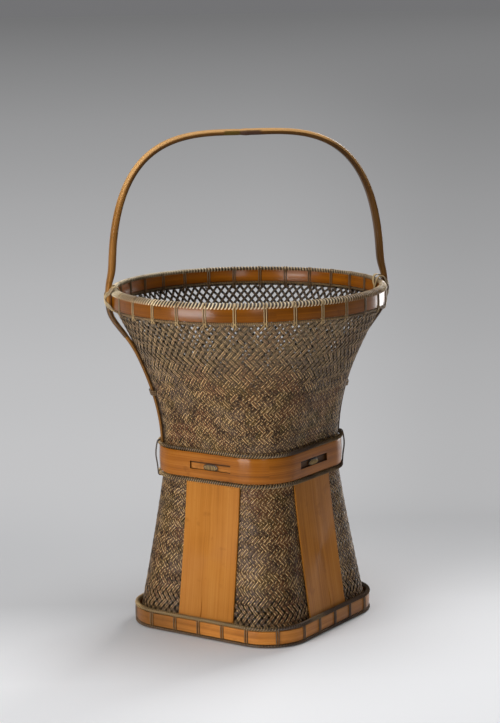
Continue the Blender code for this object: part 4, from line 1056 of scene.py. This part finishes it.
for hand, sign in (("right", 1), ("left", -1)):
    add_strands("leg_knot_strands_" + hand, *leg_knot(sign), LEG_KNOT_STRAND, split_cane,
                "handle_knot_" + hand, True)
    add_strands("tail_winding_" + hand, *tail_winding(sign), TAIL_WINDING_STRAND, dark_cane,
                "handle_knot_" + hand)
    out, along = TAIL_TIE_POINTS.T
    ties = [stacked(sign * (corner_reach(height) + out), along, height + along * TAIL_TIE_SLOPE)
            for height in TAIL_TIE_HEIGHTS]
    looks = stacked(sign * TAIL_TIE_WAYS[:, 0], TAIL_TIE_WAYS[:, 1], 0.0)
    add_strands("tail_tie_strands_" + hand, *clasps(ties, looks, 24), TAIL_TIE_STRAND, aged_cane,
                "tail_tie_" + hand)
    out, height = WAIST_TIE_POINTS.T
    ties = [stacked(sign * (WAIST_REACH + out), along, height) for along in WAIST_TIE_SIDES]
    looks = stacked(sign * WAIST_TIE_WAYS[:, 0], 0.0, WAIST_TIE_WAYS[:, 1])
    add_strands("waist_tie_strands_" + hand, *clasps(ties, looks, 36), WAIST_TIE_STRAND, dark_cane,
                "waist_tie_" + hand)

# Water tube
# A cut length of thick bamboo stands loose inside and holds the water. Its floor is the culm's own
# joint, which shows outside as a low ring. It lifts straight out.

TUBE_RADIUS, TUBE_WALL, TUBE_LOW, TUBE_HIGH = 0.049, 0.005, 0.0088, 0.1388
TUBE_JOINT = TUBE_LOW + 0.016
TUBE_INNER = TUBE_RADIUS - TUBE_WALL
TUBE_PATH = 0.01     # radius of the circle that the profile is carried round
TUBE_BELOW = [(0.0005, TUBE_LOW + 0.0015), (0.044, TUBE_LOW + 0.0015), (0.046, TUBE_LOW), (0.0482, TUBE_LOW)]
TUBE_OUTSIDE = [(0.0, TUBE_LOW + 0.0008), (0.0, TUBE_JOINT - 0.004), (0.0006, TUBE_JOINT - 0.0014),
                (0.0010, TUBE_JOINT - 0.0005), (0.0004, TUBE_JOINT + 0.0001), (0.0010, TUBE_JOINT + 0.0007),
                (0.0005, TUBE_JOINT + 0.0018), (0.0, TUBE_JOINT + 0.004), (-0.0003, 0.07), (-0.0003, 0.12),
                (-0.0002, TUBE_HIGH - 0.0008), (-0.0010, TUBE_HIGH)]
TUBE_INSIDE = [(0.0008, TUBE_HIGH), (0.0, TUBE_HIGH - 0.0008), (0.0, 0.03), (0.0, TUBE_LOW + 0.0115),
               (-0.003, TUBE_LOW + 0.009)]
TUBE_BED = [(0.02, TUBE_LOW + 0.0082), (0.0005, TUBE_LOW + 0.008)]


def tube_finish():
    """Old whole bamboo: olive tan with upright fibres, and a dusty ring at the joint."""
    made = Finish("tube_bamboo", IOR=1.5)
    place = made.place()
    x, y, z = (made.part(place, axis) for axis in range(3))
    fibre = made.noise(made.point(x * 620.0, y * 620.0, z * 9.0), 1.0, 3.0)
    cloud = made.noise(place, 26.0, 3.0)
    level = (fibre * 0.6 + cloud * 0.7 - 0.15).kept()
    joint = 1.0 - made.between((z - TUBE_JOINT).size(), 0.0008, 0.0035)
    colour = made.mixed(level, paint(104, 84, 44), paint(178, 156, 98))
    colour = made.tinted(colour, (joint * 0.7, (90, 72, 44)))
    return made.done(colour, cloud * 0.3 + 0.32, fibre, 0.00012)


tube_profile = np.concatenate([TUBE_BELOW, np.add(TUBE_OUTSIDE, (TUBE_RADIUS, 0.0)),
                               np.add(TUBE_INSIDE, (TUBE_INNER, 0.0)), TUBE_BED]) - (TUBE_PATH, 0.0)
facing = level_way(np.arange(128)[None, :] * math.pi / 64)
add_piece("water_tube_turned", carried(facing * TUBE_PATH, facing, tube_profile[::-1, ::-1], True),
          tube_finish(), "tube_bamboo", "water_tube", body="liner", closed=True, smooth=50.0)

# Studio
# A wide pale floor runs back into a grey backdrop. A broad lamp and two low strips light the left and
# make the rim shine, one lamp stands in front, two behind on the right, and a broad one overhead.

AZIMUTH, ELEVATION, ROLL = (math.radians(value) for value in (-10.9065, 10.0511, 0.97))
CAMERA_DISTANCE, AIM_RIGHT, AIM_HEIGHT = 2.1, 0.0006, 0.2662
SENSOR_HEIGHT, FOCAL_PIXELS, PHOTO_PIXELS = 36.0, 2055.1, 723
# Near floor colours on the left, holding a painted shadow, and on the right, holding painted light.
NEAR_LEFT_PAINTED_SHADOW = ((0.2, 0.3), (0.3, 0.6), (0.365, 0.95), (0.41, 0.95), (0.457, 0.74), (0.52, 0.54), (0.64, 0.56))
NEAR_RIGHT_PAINTED_LIGHT = ((0.2, 0.3), (0.3, 0.6), (0.365, 0.91), (0.41, 0.91), (0.457, 0.87), (0.52, 0.8), (0.64, 0.43))
FAR_BACK = ((0.64, 0.54), (0.73, 0.53), (0.8, 0.5), (0.86, 0.445), (0.907, 0.376), (0.948, 0.296),
            (0.975, 0.222), (0.994, 0.161))
FLOOR_DROP = 0.0004
LAMPS = (("left_lamp", (-1.75, -1.05, 1.5), 0.2, (1.7, 1.8), 18.0),
         ("low_left_lamp", (-1.33, -0.9, 0.13), 0.3, (0.9, 0.22), 8.0),
         ("middle_left_lamp", (-1.87, -1.26, 0.6), 0.33, (1.1, 0.3), 11.0),
         ("front_lamp", (-0.15, -2.3, 0.7), 0.2, (0.4, 1.1), 5.0),
         ("back_right_lamp", (1.2, 1.25, 1.25), 0.25, (0.8, 0.6), 19.0),
         ("low_right_strip", (1.33, 0.95, 0.17), 0.33, (0.6, 0.3), 4.5),
         ("overhead_lamp", (0.1, 0.2, 2.5), 0.2, (1.4, 1.4), 23.5))


def grey(level):
    """A neutral grey with a trace of blue."""
    return (level, level, level * 1.015, 1.0)


def floor_finish():
    """Pale studio floor that runs back into a grey backdrop.

    Near the basket it is lit by the lamps and takes the shadow; its colour is also darker to the left
    of the basket, a painted shadow, and paler beside it on the right, painted light. Further back only
    the camera, reflections and clear things see its light, which fades with the distance behind the basket.
    A ramp reads a distance d as d / (|d| + 1) / 2 + 1/2."""
    made = Finish("studio_floor", Roughness=0.9, IOR=1.3, Emission_Strength=1.0)
    place = made.place()
    x, y = made.part(place, 0), made.part(place, 1)
    behind = x * -math.sin(AZIMUTH) + y * math.cos(AZIMUTH)
    beside = x * math.cos(AZIMUTH) + y * math.sin(AZIMUTH)
    around = made.node("ShaderNodeVectorMath", {"operation": "LENGTH"}, {0: place}, 1) - 0.35
    away = behind.maths("MAXIMUM", behind, around)
    near, far = (distance / (distance.size() + 1.0) * 0.5 + 0.5 for distance in (behind, away))
    ramps = ((near, NEAR_LEFT_PAINTED_SHADOW), (near, NEAR_RIGHT_PAINTED_LIGHT), (far, FAR_BACK))
    left_side, right_side, glow = (made.ramp(level, [(stop, grey(shade)) for stop, shade in stops])
                                   for level, stops in ramps)
    slant = beside / (behind.size() + 2.07)
    shaded = made.between(slant, 0.0, 0.11) * (1.0 - made.between(far, 0.95, 0.99)) * 0.19
    glow = made.mixed(shaded, glow, grey(0.0))
    glow = made.mixed(made.between(0.0 - behind, 0.5, 1.6) * 0.65, glow, grey(0.0))
    beyond = made.between(far, 0.6, 0.7)
    camera, glossy, clear = (made.node("ShaderNodeLightPath", {}, {}, output) for output in (0, 3, 6))
    glow = made.mixed(beyond * (camera + glossy + clear).kept(), grey(0.0), glow)
    made.feed(made.shader, {"Emission Color": glow})
    # The near floor is darker to the left of the basket, a painted shadow, and paler to the right, painted
    # light.
    colour = made.mixed(made.between(slant, -0.09, 0.09), left_side, right_side)
    colour = made.mixed(beyond, colour, grey(0.0))
    return made.done(colour, 0.9, made.noise(place, 300.0, 2.0), 0.00002)


rounds = np.array([0.0001, 0.3, 0.8, 2.0, 6.0, 20.0, 80.0])
points = level_way(np.arange(96) * math.pi / 48)[:, None] * rounds[:, None] - UPWARD * FLOOR_DROP
number = np.arange(96 * len(rounds)).reshape(96, -1)
after = np.roll(number, -1, axis=0)
quads = stacked(number[:, :-1], number[:, 1:], after[:, 1:], after[:, :-1]).astype(int).reshape(-1, 4)
floor_mesh = bpy.data.meshes.new("studio_floor")
floor_mesh.from_pydata(points.reshape(-1, 3), [], quads.tolist())
floor_mesh.materials.append(floor_finish())
studio_floor = bpy.data.objects.new("studio_floor", floor_mesh)
bpy.context.scene.collection.objects.link(studio_floor)

for lamp_name, place, target, (width, height), power in LAMPS:
    light = bpy.data.lights.new(lamp_name, "AREA")
    light.shape = "RECTANGLE"
    light.size = width
    light.size_y = height
    light.energy = power
    lamp = bpy.data.objects.new(lamp_name, light)
    lamp.location = place
    lamp.rotation_euler = (Vector(place) - Vector((0.0, 0.0, target))).to_track_quat("Z", "Y").to_euler()
    lamp.visible_camera = False
    bpy.context.scene.collection.objects.link(lamp)

world = bpy.data.worlds.new("studio")
bpy.context.scene.world = world
world.use_nodes = True
tree = world.node_tree
shown, lit = tree.nodes["Background"], tree.nodes.new("ShaderNodeBackground")
lit.inputs["Color"].default_value = (0.9, 0.95, 1.0, 1.0)
lit.inputs["Strength"].default_value = 0.12
shown.inputs["Color"].default_value = (0.17, 0.17, 0.175, 1.0)
shown.inputs["Strength"].default_value = 1.0
rays, blend = tree.nodes.new("ShaderNodeLightPath"), tree.nodes.new("ShaderNodeMixShader")
tree.links.new(rays.outputs["Is Camera Ray"], blend.inputs[0])
tree.links.new(lit.outputs[0], blend.inputs[1])
tree.links.new(shown.outputs[0], blend.inputs[2])
tree.links.new(blend.outputs[0], tree.nodes["World Output"].inputs["Surface"])

back = Vector((math.sin(AZIMUTH) * math.cos(ELEVATION), -math.cos(AZIMUTH) * math.cos(ELEVATION),
               math.sin(ELEVATION)))
right = Vector((math.cos(AZIMUTH), math.sin(AZIMUTH), 0.0))
up = back.cross(right)
aim = right * AIM_RIGHT + Vector((0.0, 0.0, AIM_HEIGHT))
turned_right = right * math.cos(ROLL) - up * math.sin(ROLL)
turned_up = right * math.sin(ROLL) + up * math.cos(ROLL)
lens = bpy.data.cameras.new("camera")
lens.sensor_fit = "VERTICAL"
lens.sensor_height = SENSOR_HEIGHT
lens.lens = FOCAL_PIXELS / PHOTO_PIXELS * SENSOR_HEIGHT
camera = bpy.data.objects.new("camera", lens)
camera.matrix_world = Matrix.Translation(aim + back * CAMERA_DISTANCE) @ Matrix(
    (turned_right, turned_up, back)).transposed().to_4x4()
bpy.context.scene.collection.objects.link(camera)
bpy.context.scene.camera = camera
bpy.context.scene.view_settings.view_transform = "Standard"
